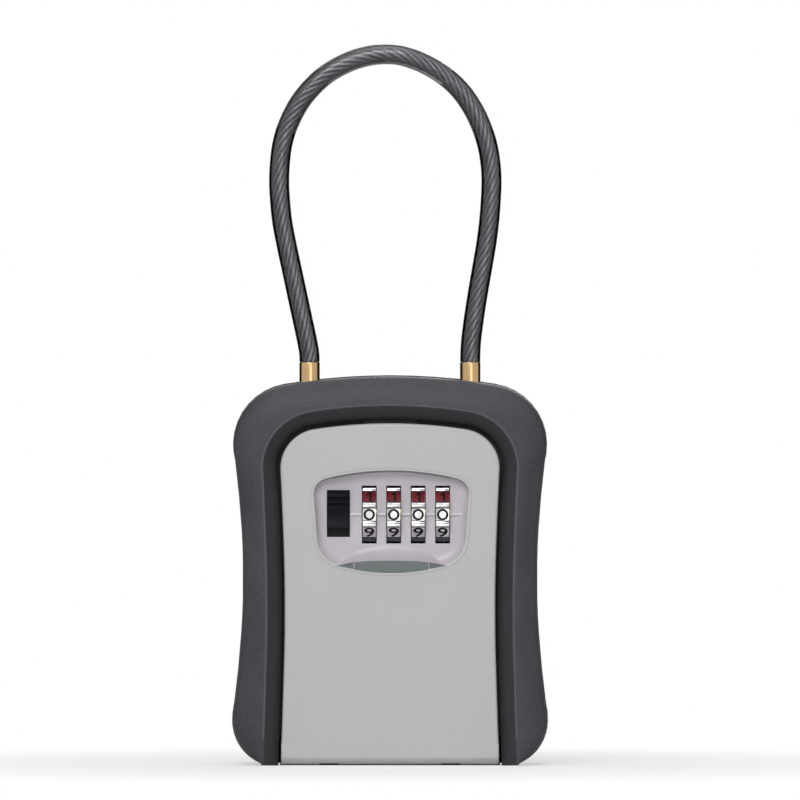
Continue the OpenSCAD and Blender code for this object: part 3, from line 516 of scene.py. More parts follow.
def make_materials(finishes, sizes):
    """All the finishes of the key safe, by name."""
    surround, door, bezel = finishes.surround, finishes.door, finishes.bezel
    grain = sizes.grain / MM

    def shade(colour, by):
        return tuple(min(1, c * by) for c in colour)

    # Injection-moulded ABS with an eroded grain: dull, with tiny lights on the grain
    moulded_plastic(
        "grained_abs", shade(surround, 0.68), shade(surround, 1.36), grain, 0.09, 0.5,
        Specular_IOR_Level=0.25)
    # The same ABS, smooth along the chamfer, in a darker copy: painted shade on the chamfer, which leans in
    # towards the door
    moulded_plastic(
        "chamfer_painted_shade", shade(surround, 0.55), shade(surround, 0.72), grain, 0.02, 0.42,
        Specular_IOR_Level=0.22)
    # The same ABS along the crease, in a lighter copy: a painted highlight along the crease
    moulded_plastic(
        "crease_painted_highlight", shade(surround, 1.35), shade(surround, 1.75), grain, 0.02, 0.4,
        Specular_IOR_Level=0.3)
    # Zinc plate with sprayed satin paint: even, with a slight orange peel
    moulded_plastic(
        "satin_paint", shade(door, 0.975), shade(door, 1.02), 1.4, 0.012, 0.42)
    # Moulded ABS from a polished tool: a clean, soft gloss
    moulded_plastic(
        "polished_abs", shade(bezel, 0.97), shade(bezel, 1.02), 2.0, 0.006, 0.34)
    # The same ABS, matt under the finger pull, in a darker colour: painted shade under the pull and along the
    # top wall of the dish
    moulded_plastic(
        "pull_painted_shade", shade(finishes.pull, 0.97), shade(finishes.pull, 1.03), 0.8, 0.01, 0.5)
    # Moulded black ABS: a soft sheen that just shows its ridges
    moulded_plastic(
        "black_abs", shade(finishes.button, 0.7), shade(finishes.button, 1.1), 0.9, 0.01, 0.5,
        Specular_IOR_Level=0.08)
    # Lighter ABS: a painted highlight on the bezel's edge and on the index bars
    moulded_plastic("painted_highlight_abs", linear("cccacc"), linear("dad8da"), 0.8, 0.004, 0.35)
    # Chrome plate on cast zinc: a near mirror, slightly wavy from the casting
    metal(
        "chrome_plate", linear("bfbec0"), linear("dddcde"), 1.2, 0.15, 0.004, "")
    # Black enamel in the cut numbers
    moulded_plastic(
        "black_enamel", linear("08080a"), linear("131316"), 0.5, 0.005, 0.35, Specular_IOR_Level=0.15)
    # Red colour in the field of one number
    moulded_plastic(
        "red_number_field", linear("4d0a14"), linear("861827"), 0.9, 0.01, 0.35, Specular_IOR_Level=0.25)
    # Turned and polished brass: faint rings from the lathe
    metal(
        "turned_brass", shade(finishes.brass, 0.9), shade(finishes.brass, 1.05), 0.35, 0.16, 0.003, "")
    # Drawn steel wire, laid up into strands, with a film of oil
    metal("rope_wire", linear("c6c5ca"), linear("efeef2"), 0.5, 0.45, 0.02, "")
    # Die-cast zinc with a black powder coat: dull and faintly pebbled
    moulded_plastic(
        "cast_black", linear("151518"), linear("232327"), 0.8, 0.05, 0.6, Specular_IOR_Level=0.3)
    # Moulded rubber: dead matt
    moulded_plastic("pad_rubber", linear("19191a"), linear("28282a"), 0.7, 0.06, 0.85)
    # Zinc-plated pressed steel: greyish, with marks from the roller
    metal("plated_steel", linear("a0a2a7"), linear("b4b6bb"), 0.3, 0.4, 0.001, "X")
    # Blackened steel of the clips, also a painted dark reflection on one ridge of each dial
    metal("dark_steel", linear("46474b"), linear("66676c"), 0.5, 0.4, 0.004, "")
    # Steel with a black oxide skin: dull, nearly black
    moulded_plastic(
        "black_oxide", linear("131316"), linear("202024"), 0.6, 0.01, 0.5, Specular_IOR_Level=0.2)
    # Bright spring wire
    metal("spring_wire", linear("a2a3a8"), linear("d0d1d6"), 0.3, 0.25, 0.003, "")
    # Sheet brass of the washers and sleeves
    metal("sheet_brass", linear("b4935a"), linear("d9b97c"), 0.5, 0.3, 0.004, "")
    # Moulded black nylon of the tabs
    moulded_plastic("black_nylon", linear("1a1a1d"), linear("29292d"), 0.6, 0.02, 0.5)
    cable_sheath()


def coated(piece, *names):
    """Gives the piece its finishes, the first of them all over."""
    piece.data.materials.clear()
    for name in names:
        piece.data.materials.append(MATERIALS[name])
    return piece


# Route of the cable as x and z, from the left ferrule to the right one
ROUTE = [
    (-23.8, 118.8), (-23.9, 121.5), (-24.6, 125.5), (-26, 132), (-27.5, 139), (-29.1, 146.5),
    (-30.6, 153.5), (-31.9, 160.5), (-32.6, 167.5), (-32.8, 173), (-32.5, 178.5), (-31.9, 183),
    (-30.7, 187.5), (-28.9, 191.7), (-26.6, 195.8), (-23.5, 199.7), (-19.7, 203.3), (-15, 206.3),
    (-9.5, 208.6), (-3.6, 209.8), (2.2, 209.7), (7.6, 208.2), (12.6, 205.8), (16.9, 202.9),
    (20.4, 199.6), (23.2, 195.9), (25.6, 191.7), (27.5, 187.2), (28.9, 182.5), (29.7, 177.5),
    (30, 172.5), (29.8, 167), (29.3, 160.5), (28.4, 153.5), (27.2, 146.5), (26, 139.5),
    (24.9, 132.5), (24, 125.5), (23.75, 121.5), (23.7, 118.8)]
SHACKLE_Y = 2.0
CABLE_D = 6.0
ROPE_D = 3.2
LEFT_FERRULE = cad_box("ferrule_left")
RIGHT_FERRULE = cad_box("ferrule_right")


def cable_route(step):
    """Smooth line through the route, a point every step millimetres, both ends on the ferrules."""
    ends = [(LEFT_FERRULE[0].x + LEFT_FERRULE[1].x) / 2, (RIGHT_FERRULE[0].x + RIGHT_FERRULE[1].x) / 2]
    shift = {-1: ends[0] - ROUTE[0][0], 1: ends[1] - ROUTE[-1][0]}
    points = []
    for x, z in ROUTE:
        near = 1 - min(1, (z - ROUTE[0][1]) / 40)
        points.append(Vector((x + shift[-1 if x < 0 else 1] * near, SHACKLE_Y, z)))
    fine = []
    for k in range(len(points) - 1):
        p0, p1 = points[max(k - 1, 0)], points[k]
        p2, p3 = points[k + 1], points[min(k + 2, len(points) - 1)]
        count = max(2, round((p2 - p1).length / step))
        for j in range(count):
            t = j / count
            fine.append(0.5 * (
                2 * p1 + (p2 - p0) * t + (2 * p0 - 5 * p1 + 4 * p2 - p3) * t * t
                + (3 * p1 - p0 - 3 * p2 + p3) * t ** 3))
    return fine + [points[-1]]


def tube(name, points, r, sides=16):
    """Closed tube of a radius along points in millimetres that lie near one upright plane."""
    rings = []
    for k, p in enumerate(points):
        along = (points[min(k + 1, len(points) - 1)] - points[max(k - 1, 0)]).normalized()
        side = along.cross(Vector((0, 1, 0))).normalized()
        up = side.cross(along)
        turns = [2 * math.pi * j / sides for j in range(sides)]
        rings.append([p + r * (side * math.cos(a) + up * math.sin(a)) for a in turns])
    return skin(name, rings)


class SAFE_OT_stage(Operator):
    """Pale floor, white backdrop, soft lamps and the camera in front of the safe"""
    bl_idname = "safe.stage"
    bl_label = "Stage"

    def execute(self, context):
        scene = context.scene
        alone()
        bpy.ops.mesh.primitive_plane_add(size=6, location=(0, 0, 0))
        floor = named("floor")
        self.floor_finish()
        coated(floor, "pale_paper")

        world = bpy.data.worlds.new("studio")
        scene.world = world
        world.use_nodes = True
        tree = world.node_tree
        rays = add_node(tree, "LightPath")
        seen = add_node(tree, "Math", {
            0: rays.outputs["Is Camera Ray"], 1: rays.outputs["Is Transmission Ray"]}, operation="MAXIMUM")
        mirrored_too = add_node(tree, "Math", {
            0: seen.outputs[0], 1: rays.outputs["Is Glossy Ray"]}, operation="MAXIMUM")
        strength = add_node(tree, "Math", {0: mirrored_too.outputs[0], 1: 0.16}, operation="MAXIMUM")
        back = tree.nodes["Background"]
        back.inputs["Color"].default_value = (1, 1, 1, 1)
        tree.links.new(strength.outputs[0], back.inputs["Strength"])

        mid = Vector((0, 0, 0.09))
        for name, place, size, power in (
                ("key_lamp", (-0.35, -1.6, 1.25), (1.2, 1.0), 21),
                ("fill_lamp", (0.5, -2.2, 0.25), (1.0, 1.0), 5),
                ("top_lamp", (0.0, -0.1, 2.2), (1.2, 1.2), 10),
                ("back_lamp", (0.5, 2.2, 1.2), (1.2, 1.0), 9)):
            lamp = bpy.data.lights.new(name, "AREA")
            lamp.shape = "RECTANGLE"
            lamp.size, lamp.size_y = size
            lamp.energy = power
            made = bpy.data.objects.new(name, lamp)
            scene.collection.objects.link(made)
            made.location = place
            made.rotation_euler = (mid - Vector(place)).to_track_quat("-Z", "Y").to_euler()

        self.flags()

        # The frame is 800 pixels each way, and a pixel of it is 0.2941 mm at the front of the safe.
        # The middle of the safe is at pixel 390 across, and the floor at pixel 766 down.
        frame_px, across_px, floor_px = 800, 390, 766
        pixel = 0.2941
        away = 4000
        camera = bpy.data.cameras.new("camera")
        camera.sensor_width = 36
        camera.lens = camera.sensor_width * away / (frame_px * pixel)
        camera.clip_end = 40
        made = bpy.data.objects.new("camera", camera)
        scene.collection.objects.link(made)
        made.location = Vector((
            (frame_px / 2 - across_px) * pixel, FRONT - away, (floor_px - frame_px / 2) * pixel)) * MM
        made.rotation_euler = (math.pi / 2, 0, 0)
        scene.camera = made
        scene.view_settings.view_transform = "Standard"
        return {"FINISHED"}

    def flags(self):
        """Black flags to the left and right, which give metal and clear plastic their dark edges."""
        new_material("black_felt", Base_Color=(0.01, 0.01, 0.01, 1), Roughness=1.0)
        for name, side in (("left_flag", -1), ("right_flag", 1)):
            alone()
            bpy.ops.mesh.primitive_plane_add(
                size=1, location=(side * 0.55, 0.7, 0.2), rotation=(0, math.pi / 2, 0))
            flag = named(name)
            flag.scale = (1.4, 1.2, 1)
            bpy.ops.object.transform_apply(location=True, rotation=True, scale=True)
            coated(flag, "black_felt")
            flag.visible_camera = flag.visible_diffuse = flag.visible_shadow = False

    def floor_finish(self):
        """Pale paper, which turns into the white of the backdrop away from the safe."""
        tree, shader, place = new_material(
            "pale_paper", Base_Color=(*linear("f2f2f2"), 1), Roughness=0.8, Specular_IOR_Level=0.2)
        away = add_node(tree, "VectorMath", {0: place}, operation="LENGTH")
        fade = add_node(tree, "MapRange", {
            "Value": away.outputs["Value"], "From Min": 60 * MM, "From Max": 230 * MM,
            "To Min": 0.55, "To Max": 1}, interpolation_type="SMOOTHSTEP")
        rays = add_node(tree, "LightPath")
        share = add_node(tree, "Math", {0: fade.outputs[0], 1: rays.outputs["Is Camera Ray"]},
                         operation="MULTIPLY")
        white = add_node(tree, "Emission", {"Color": (1, 1, 1, 1), "Strength": 1.0})
        mix = add_node(tree, "MixShader", {
            0: share.outputs[0], 1: shader.outputs[0], 2: white.outputs[0]})
        tree.links.new(mix.outputs[0], tree.nodes["Material Output"].inputs["Surface"])


class SAFE_OT_surround(Operator):
    """Moulded surround: a chamfer up to the crease, a sloping face and rounded sides"""
    bl_idname = "safe.surround"
    bl_label = "Surround"

    def execute(self, context):
        body, door = body_line(), door_line()
        count = len(body)

        def door_ring(out, y, more=0.0):
            """Ring at a distance from the door, with more room round its top than at its sides."""
            made = []
            for (x, z), (xf, zf) in zip(moved_in(door, -out), moved_in(door, -out - more)):
                share = min(1, max(0, (z - DOOR_CORNER_Z + 12) / 16))
                made.append((x + (xf - x) * share, y, max(z + (zf - z) * share, 0)))
            return made

        def body_ring(inset, y):
            made = []
            for k in range(count):
                # The face narrows to nothing where the crease meets the foot
                share = min(1, min(k, count - 1 - k) / (FOOT_STEPS * 0.8))
                share = share * share * (3 - 2 * share)
                (x, z), (xi, zi) = body[k], moved_body[inset][k]
                made.append((x + (xi - x) * share, y, z + (zi - z) * share))
            return made

        insets = (2.8, 2.0, 1.3, 0.85, 0.55, 0.38)
        side = 0.35
        moved_body = {d: moved_in(body, d) for d in (*insets, side, side + 0.2)}
        mouth = [(DOOR_GAP, CASE_FRONT), (DOOR_GAP, CHAMFER + 0.5), (DOOR_GAP + 0.1, CHAMFER + 0.15),
                 (DOOR_GAP + 0.35, CHAMFER - 0.15)]
        crest = [(2.8, FRONT + 2.08), (CREASE_OUT - 0.4, FRONT + 0.34), (CREASE_OUT - 0.15, FRONT + 0.1),
                 (CREASE_OUT + 0.1, FRONT), (CREASE_OUT + 0.45, FRONT + 0.02)]
        rings = [door_ring(out, y, 0.5) for out, y in mouth] + [door_ring(out, y) for out, y in crest]
        inner, outer = rings[-1], body_ring(insets[0], FRONT + 2.1)
        for share in (0.25, 0.5, 0.75):
            lift = 0.45 * math.sin(math.pi * share)
            rings.append([
                (a[0] + (b[0] - a[0]) * share, a[1] + (b[1] - a[1]) * share - lift,
                 a[2] + (b[2] - a[2]) * share)
                for a, b in zip(inner, outer)])
        for inset, drop in zip(insets, (2.1, 2.7, 3.4, 4.2, 5.2, 6.6)):
            rings.append(body_ring(inset, FRONT + drop))
        rings += [body_ring(inset, y) for inset, y in (
            (side, FRONT + 8.5), (side, SURROUND_BACK - 0.2), (side + 0.2, SURROUND_BACK),
            (2.0, SURROUND_BACK), (2.0, CASE_FRONT))]
        sections = [[ring[k] for ring in rings] for k in range(count)]
        piece = coated(skin("surround_moulding", sections), "grained_abs", "chamfer_painted_shade", "crease_painted_highlight")
        for face in piece.data.polygons:
            # The chamfer is the slope that leans in towards the door; its faces get the painted shade
            x, y, z = face.center / MM
            leans_in = face.normal.x * x + face.normal.z * (z - BODY_H / 2) < -1
            if leans_in and FRONT + 0.1 < y < CASE_FRONT:
                face.material_index = 1
            # The faces along the crease get the painted highlight
            elif y < FRONT + 0.07 and z > 8:
                face.material_index = 2
        for low, high in (LEFT_FERRULE, RIGHT_FERRULE):
            mid = (low + high) / 2
            hole = rod("hole", (mid.x, mid.y, BODY_H - 12), "Z", (high.x - low.x) / 2 + 0.3, 20)
            cut(piece, hole)
        keeper = cad_box("keeper")
        cut(piece, box("pocket", keeper[0] - Vector((0.3, 0.3, 3)), keeper[1] + Vector((0.3, 1, 0.3))))
        smooth(piece, 28)
        finished(piece, "case", "surround_plastic", "surround")
        return {"FINISHED"}


class SAFE_OT_door(Operator):
    """Painted door plate with its hinge barrel, screw posts and bolt guide"""
    bl_idname = "safe.door"
    bl_label = "Door"

    def execute(self, context):
        foot = 2.45
        line = door_line(foot)

        def ring(inset, y):
            points = moved_in(line, inset)
            return [(x, y, max(z, foot)) for x, z in points]

        rings = [ring(d, DOOR_FRONT + y) for d, y in (
            (0.9, 0), (0.6, 0.03), (0.33, 0.13), (0.13, 0.33), (0.03, 0.6), (0, 0.9), (0, 1.8), (0.2, 2))]
        plate = skin("door_plate", rings)
        hole = skin("hole", [
            [(x, y, z) for x, z in bezel_line(-0.8)] for y in (DOOR_FRONT - 1, DOOR_BACK + 1)])
        cut(plate, hole)
        half = DOOR_FOOT_W - 0.15
        barrel = rod("barrel", (-half, HINGE_Y, HINGE_Z), "X", BARREL_R, 2 * half, 96)
        cut(barrel, box("front", (-50, DOOR_FRONT - 5, -5), (50, DOOR_FRONT + 0.01, 20)))
        bevelled(barrel, 0.45, 50)
        for side in (-1, 1):
            low = side * 18 - 2.8
            cut(barrel, rod("pocket", (low, HINGE_Y, HINGE_Z), "X", 2.6, 5.6))
            cut(barrel, box("pocket", (low, HINGE_Y - 1.5, -1), (low + 5.6, HINGE_Y + 5, HINGE_Z + 2)))
        pieces = [plate, barrel]
        screws = cad_box("cover_screws")
        cover = cad_box("mechanism_cover")
        for x in (screws[0].x + 1.9, screws[1].x - 1.9):
            for z in (screws[0].z + 1.9, screws[1].z - 1.9):
                post = rod("post", (x, DOOR_BACK - 0.1, z), "Y", 2.2, cover[1].y - 1.2 - DOOR_BACK, 40)
                pieces.append(bevelled(post, 0.25, 50))
        bolt = cad_box("bolt")
        rail = 8
        low, high = bolt[0].z + 1.4, bolt[1].z - 1.4
        pieces.append(box("rail", (-rail, DOOR_BACK - 0.1, low), (rail, bolt[0].y - 0.3, high)))
        for side in (-1, 1):
            ends = sorted((side * (bolt[1].x + 0.15), side * rail))
            pieces.append(box("rail", (ends[0], DOOR_BACK - 0.1, low), (ends[1], bolt[1].y, high)))
        for piece in pieces:
            coated(piece, "satin_paint")
        piece = smooth(joined(pieces, "door_plate"), 28)
        finished(piece, "door", "door_paint", "door_panel")
        return {"FINISHED"}


class SAFE_OT_bezel(Operator):
    """Dished bezel with five windows, an index line and the finger pull"""
    bl_idname = "safe.bezel"
    bl_label = "Bezel"

    def execute(self, context):
        floor_y = DOOR_FRONT + 2.9
        pan_back = floor_y + 1.7
        rim = ((-0.76, 2.0), (-0.76, 0.06), (-0.7, 0.0), (-0.14, 0.0), (0.0, 0.1))
        wall = ((0.15, 0.35), (0.35, 0.9), (0.7, 1.5), (1.2, 2.05), (1.9, 2.5), (2.8, 2.78), (3.8, 2.9))
        rings = [[(x, y, z) for x, z in bezel_line(d)] for d, y in (
            (1.0, pan_back), (-2.0, pan_back - 0.4), (-2.0, DOOR_BACK + 0.05), (-0.76, DOOR_BACK + 0.05))]
        rings += [self.dish_ring(d, DOOR_FRONT + y) for d, y in rim + wall]
        piece = coated(skin("bezel_pan", rings), "polished_abs", "pull_painted_shade", "painted_highlight_abs", "satin_paint")
        for face in piece.data.polygons:
            depth, z = face.center.y / MM - DOOR_FRONT, face.center.z / MM
            if face.normal.y < -0.8 and depth < 0.03:
                face.material_index = 3
            # Painted highlight on the rim at the sides and the foot
            elif depth < 0.3 and z < DIAL_Z + 5:
                face.material_index = 2
            # Painted shadow along the steep wall at the top of the dish
            elif depth < 1.9 * min(1, (z - DIAL_Z - 7) / 4) and face.normal.z < -0.2:
                face.material_index = 1
        high = (DIAL_R ** 2 - (AXIS_Y - pan_back) ** 2) ** 0.5 + 0.25
        for low_corner, high_corner in DIALS:
            cut(piece, box(
                "window", (low_corner.x - WINDOW_GAP, DOOR_FRONT - 3, DIAL_Z - high),
                (high_corner.x + WINDOW_GAP, pan_back + 2, DIAL_Z + high)))
        button_mid = (BUTTON[0].x + BUTTON[1].x) / 2
        button_z = DIAL_Z + 0.3
        half_w, half_h = 3.38, 6.9
        cut(piece, box(
            "window", (button_mid - half_w, DOOR_FRONT - 3, button_z - half_h),
            (button_mid + half_w, pan_back + 2, button_z + half_h)))
        bevelled(piece, 0.12, 50)

        # Index line: a fine raised bar between the windows, with a painted highlight all over it
        stops = [button_mid + half_w]
        for low_corner, high_corner in DIALS:
            stops += [low_corner.x - WINDOW_GAP, high_corner.x + WINDOW_GAP]
        stops.append(BEZEL[1].x - FLANGE - 1.6)
        bars = []
        for start, end in zip(stops[::2], stops[1::2]):
            bar = box("bar", (start + 0.1, floor_y - 0.5, DIAL_Z - 0.25),
                      (end - 0.1, floor_y + 0.1, DIAL_Z + 0.45))
            bars.append(coated(bevelled(bar, 0.08, 50), "painted_highlight_abs"))
        piece = joined([piece, *bars, self.finger_pull(floor_y)], "dial_bezel_moulding")
        smooth(piece, 28)
        finished(piece, "door", "bezel_plastic", "dial_bezel")
        self.spindle_lugs(pan_back)
        return {"FINISHED"}

    def dish_ring(self, inset, y):
        """Ring of the dish, whose wall is steep along the top and gentle at the sides and the foot."""
        made = []
        for (x, z), (xi, zi) in zip(bezel_line(min(inset, 0)), bezel_line(inset)):
            rise = min(1, max(0, (z - DIAL_Z - 4) / 7))
            share = 1 - 0.68 * rise * rise * (3 - 2 * rise)
            made.append((x + (xi - x) * share, y, z + (zi - z) * share))
        return made

    def finger_pull(self, floor_y):
        """Lens-shaped pull at the foot of the dish: its matt face with painted shade, and a ramp that rises
        to it.
        """
        mid = (BEZEL[0].x + BEZEL[1].x) / 2
        reach = (BEZEL[1].x - BEZEL[0].x) / 2 - FLANGE - 6.7
        shoulder = 0.68
        line = 0.008
        steps = 44
        stops = [0.995 * (2 * k / steps - 1) for k in range(steps + 1)]
        stops += [s * (shoulder + e) for s in (-1, 1) for e in (-line, line)]
        rings = []
        for t in sorted(stops):
            full = 1 - t * t
            x = mid + reach * t
            foot = BEZEL_FOOT + 2.1 * t * t
            if abs(t) > shoulder:
                ridge = BEZEL_FOOT + 2.15 + 1.15 * (1 - abs(t)) / (1 - shoulder)
            else:
                ridge = BEZEL_FOOT + 3.35 + 0.35 * (1 - (t / shoulder) ** 2)
            ridge = max(ridge, foot + 0.05)
            out = 1.95 * math.sqrt(full) - 0.12
            pad = 0.05 if abs(t) < shoulder else -0.1
            ring = [(x, floor_y + 0.6, foot)]
            for share in (1, 0.8, 0.6, 0.4, 0.25, 0.12, 0.04):
                fall = 1 - (1 - share) ** 2.2
                ring.append((x, DOOR_FRONT - out + (2.95 + out) * fall, ridge + (0.5 + 4.4 * full) * share))
            ring += [(x, DOOR_FRONT - out, ridge), (x, DOOR_FRONT - 0.95 * out - pad, ridge - 0.12),
                     (x, DOOR_FRONT - 0.5 * out - pad, (ridge + foot) / 2),
                     (x, DOOR_FRONT + 0.15 - pad, foot)]
            rings.append(ring)
        piece = coated(skin("pull", rings), "polished_abs", "pull_painted_shade")
        for face in piece.data.polygons:
            t = abs(face.center.x / MM - mid) / reach
            on_line = abs(t - shoulder) < line
            # Painted shade on the faces under the pull, which face down
            if face.normal.y < 0 and face.normal.z < -0.2 and not on_line:
                face.material_index = 1
        return piece

    def spindle_lugs(self, pan_back):
        """The two lugs behind the pan, which hold the spindle."""
        left = DIALS[0][0].x - 0.35
        right = DIALS[-1][0].x + 7.2
        pieces = []
        for x in (left - 1.6, right):
            lug = box("lug", (x, pan_back - 0.1, DIAL_Z - 4.5), (x + 1.6, AXIS_Y + 3.3, DIAL_Z + 4.5))
            cut(lug, rod("bore", (x - 1, AXIS_Y, DIAL_Z), "X", 2.03, 4))
            pieces.append(coated(bevelled(lug, 0.3, 50), "polished_abs"))
        finished(smooth(joined(pieces, "spindle_lugs"), 30), "door", "bezel_plastic")


class SAFE_OT_dials(Operator):
    """Chrome number dials with ten flats each, the numbers cut and filled"""
    bl_idname = "safe.dials"
    bl_label = "Dials"

    def execute(self, context):
        first = self.dial()
        for k, (low, high) in enumerate(DIALS):
            piece = copied(first, f"number_dial_{k + 1}")
            shifted(piece, ((low.x + high.x) / 2, AXIS_Y, DIAL_Z))
            finished(smooth(piece, 28), f"dial_{k + 1}", "dial_chrome", f"dial_{k + 1}")
        bpy.data.objects.remove(first)
        return {"FINISHED"}

    def dial(self):
        """Dial about the origin: ten flats with enamelled borders, and a ridge between each two."""
        outline = []
        flat = 2.1
        border = 0.34
        floor = DIAL_R * math.cos(math.asin(flat / DIAL_R)) - 0.4
        ridge = [(-0.302, DIAL_R - 0.22), (-0.29, DIAL_R - 0.04), (-0.262, DIAL_R)]
        for k in range(10):
            mid = math.radians(36 * k)
            out, across = Vector((math.cos(mid), math.sin(mid))), Vector((-math.sin(mid), math.cos(mid)))
            for a, r in ridge:
                outline.append(across * (r * math.sin(a)) + out * (r * math.cos(a)))
            for u, rise in ((-flat, 0.22), (-flat + border, 0.0), (flat - border, 0.0), (flat, 0.22)):
                outline.append(across * u + out * (floor + rise))
            for a, r in reversed(ridge):
                outline.append(across * (r * math.sin(-a)) + out * (r * math.cos(a)))
        # Number 0 faces the front, which is -Y, and the next ones follow above it
        rings = [[(x, -p.x, -p.y) for p in outline] for x in (-DIAL_W / 2, DIAL_W / 2)]
        piece = coated(skin("dial", rings), "chrome_plate", "black_enamel", "red_number_field", "dark_steel")
        bevelled(piece, 0.14, 50)
        cut(piece, rod("bore", (-DIAL_W, 0, 0), "X", 3.25, 2 * DIAL_W))
        for face in piece.data.polygons:
            turn = math.degrees(math.atan2(face.center.z, -face.center.y)) % 360
            number = round(turn / 36)
            off = math.radians(turn - 36 * number)
            r = math.hypot(face.center.y, face.center.z) / MM
            if abs(face.normal.x) > 0.5 or r < floor - 0.3:
                continue
            if flat - border < abs(r * math.sin(off)) < flat:
                face.material_index = 1
            elif number == 1 and abs(r * math.sin(off)) < flat - border:
                face.material_index = 2
            # Painted dark reflection on the ridge between 8 and 9, below the front
            elif abs(turn - 306) < 5:
                face.material_index = 3
        for number in range(10):
            cut(piece, self.number(number, -floor))
        return piece

    def number(self, number, face):
        """Number as a cutter, centred on its own flat, whose distance from the axis is -face."""
        deep = 0.12
        if number == 0:
            # Nearly round ring
            edges = ((1.6, 1.7, -deep), (1.6, 1.7, deep), (0.95, 1.07, deep), (0.95, 1.07, -deep))
            turns = [2 * math.pi * j / 48 for j in range(48)]
            cutter = skin("number", [
                [(a * math.cos(t), y, b * math.sin(t)) for a, b, y in edges] for t in turns], frame_like=True)
        elif number == 1:
            one = [(0.4, -1.7), (0.4, 1.7), (-0.15, 1.7), (-1.0, 1.05), (-1.0, 0.35), (-0.3, 0.8),
                   (-0.3, -1.7)]
            cutter = skin("number", [[(x, y, z) for x, z in one] for y in (-deep, deep)])
        else:
            alone()
            bpy.ops.object.text_add()
            text = bpy.context.object
            text.data.body = str(number)
            text.data.size = 4.4 * MM
            text.data.offset = 0.07 * MM
            text.data.extrude = deep * MM
            text.data.resolution_u = 6
            text.rotation_euler = (math.pi / 2, 0, 0)
            bpy.ops.object.convert(target="MESH")
            cutter = named("number")
            bpy.ops.object.transform_apply(location=True, rotation=True, scale=True)
        points = [v.co for v in cutter.data.vertices]
        low = Vector([min(p[k] for p in points) for k in range(3)])
        high = Vector([max(p[k] for p in points) for k in range(3)])
        mid = (low + high) / 2
        width = {0: 3.4, 1: 1.5}.get(number, 3.0)
        scale = (width * MM / (high.x - low.x), 1, 3.4 * MM / (high.z - low.z))
        turn = math.radians(-36 * number)
        for vert in cutter.data.vertices:
            x, y, z = [(vert.co[k] - mid[k]) * scale[k] for k in range(3)]
            y += face * MM
            vert.co = (x, y * math.cos(turn) - z * math.sin(turn), y * math.sin(turn) + z * math.cos(turn))
        with edit_mode(cutter):
            bpy.ops.mesh.remove_doubles(threshold=MM * 1e-3)
            bpy.ops.mesh.normals_make_consistent(inside=False)
        return coated(cutter, "black_enamel")


class SAFE_OT_button(Operator):
    """Black opening button with its lip, ridges and long dished face"""
    bl_idname = "safe.button"
    bl_label = "Button"

    def execute(self, context):
        low, high = BUTTON
        face, back, foot, top = low.y, high.y, low.z, high.z
        # Depth behind the face and height above the foot
        profile = (
            (0.15, 0), (0, 0.15), (0, 0.75), (0.25, 1.3), (0.6, 2.2), (0.78, 3.3), (0.75, 4.4), (0.55, 5.4),
            (0.2, 6.1), (0.3, 6.45), (0.9, 6.7), (0.9, 7.2), (0.15, 7.45), (0, 7.6), (0, 8.1), (0.15, 8.25),
            (0.9, 8.5), (0.9, 9), (0.15, 9.25), (0, 9.4))
        section = [(back, foot), *((face + y, foot + z) for y, z in profile),
                   (face, top - 0.15), (face + 0.15, top), (back, top)]
        rings = [[(x, y, z) for y, z in section] for x in (low.x, high.x)]
        piece = coated(bevelled(skin("button", rings), 0.14, 60, 3), "black_abs")
        finished(smooth(piece, 32), "opening_slide", "knob_plastic", "button_knob")
        return {"FINISHED"}


class SAFE_OT_cable(Operator):
    """Cable shackle: strands laid round a core, in a smoky sheath"""
    bl_idname = "safe.cable"
    bl_label = "Cable"

    def execute(self, context):
        line = cable_route(0.9)
        sheath = coated(bevelled(tube("cable_sheath", line, CABLE_D / 2, 32), 0.3, 60), "smoky_pvc_sheath")
        finished(smooth(sheath, 40), "shackle", "cable_plastic", "cable_jacket")
        down = Vector((0, 0, 10))
        whole = [line[0] - down, line[0] - down / 2, *line, line[-1] - down / 2, line[-1] - down]
        strands = context.scene.safe_sizes.strands
        strand_r = ROPE_D / 2 / (1 + 1 / math.sin(math.pi / strands)) * 1.02
        spread = ROPE_D / 2 - strand_r
        lay = context.scene.safe_sizes.lay / MM
        pieces = [tube("core", whole, spread - strand_r * 0.9, 10)]
        for k in range(strands):
            line = self.helix(whole, spread, lay, 2 * math.pi * k / strands)
            pieces.append(tube("strand", line, strand_r, 10))
        rope = coated(joined(pieces, "wire_rope_strands"), "rope_wire")
        finished(smooth(rope, 50), "shackle", "rope_steel", "wire_rope")
        return {"FINISHED"}

    def helix(self, points, r, lay, start):
        made = []
        run = 0
        for k, p in enumerate(points):
            if k:
                run += (p - points[k - 1]).length
            along = (points[min(k + 1, len(points) - 1)] - points[max(k - 1, 0)]).normalized()
            side = along.cross(Vector((0, 1, 0))).normalized()
            turn = start - 2 * math.pi * run / lay
            made.append(p + r * (side * math.cos(turn) + side.cross(along) * math.sin(turn)))
        return made


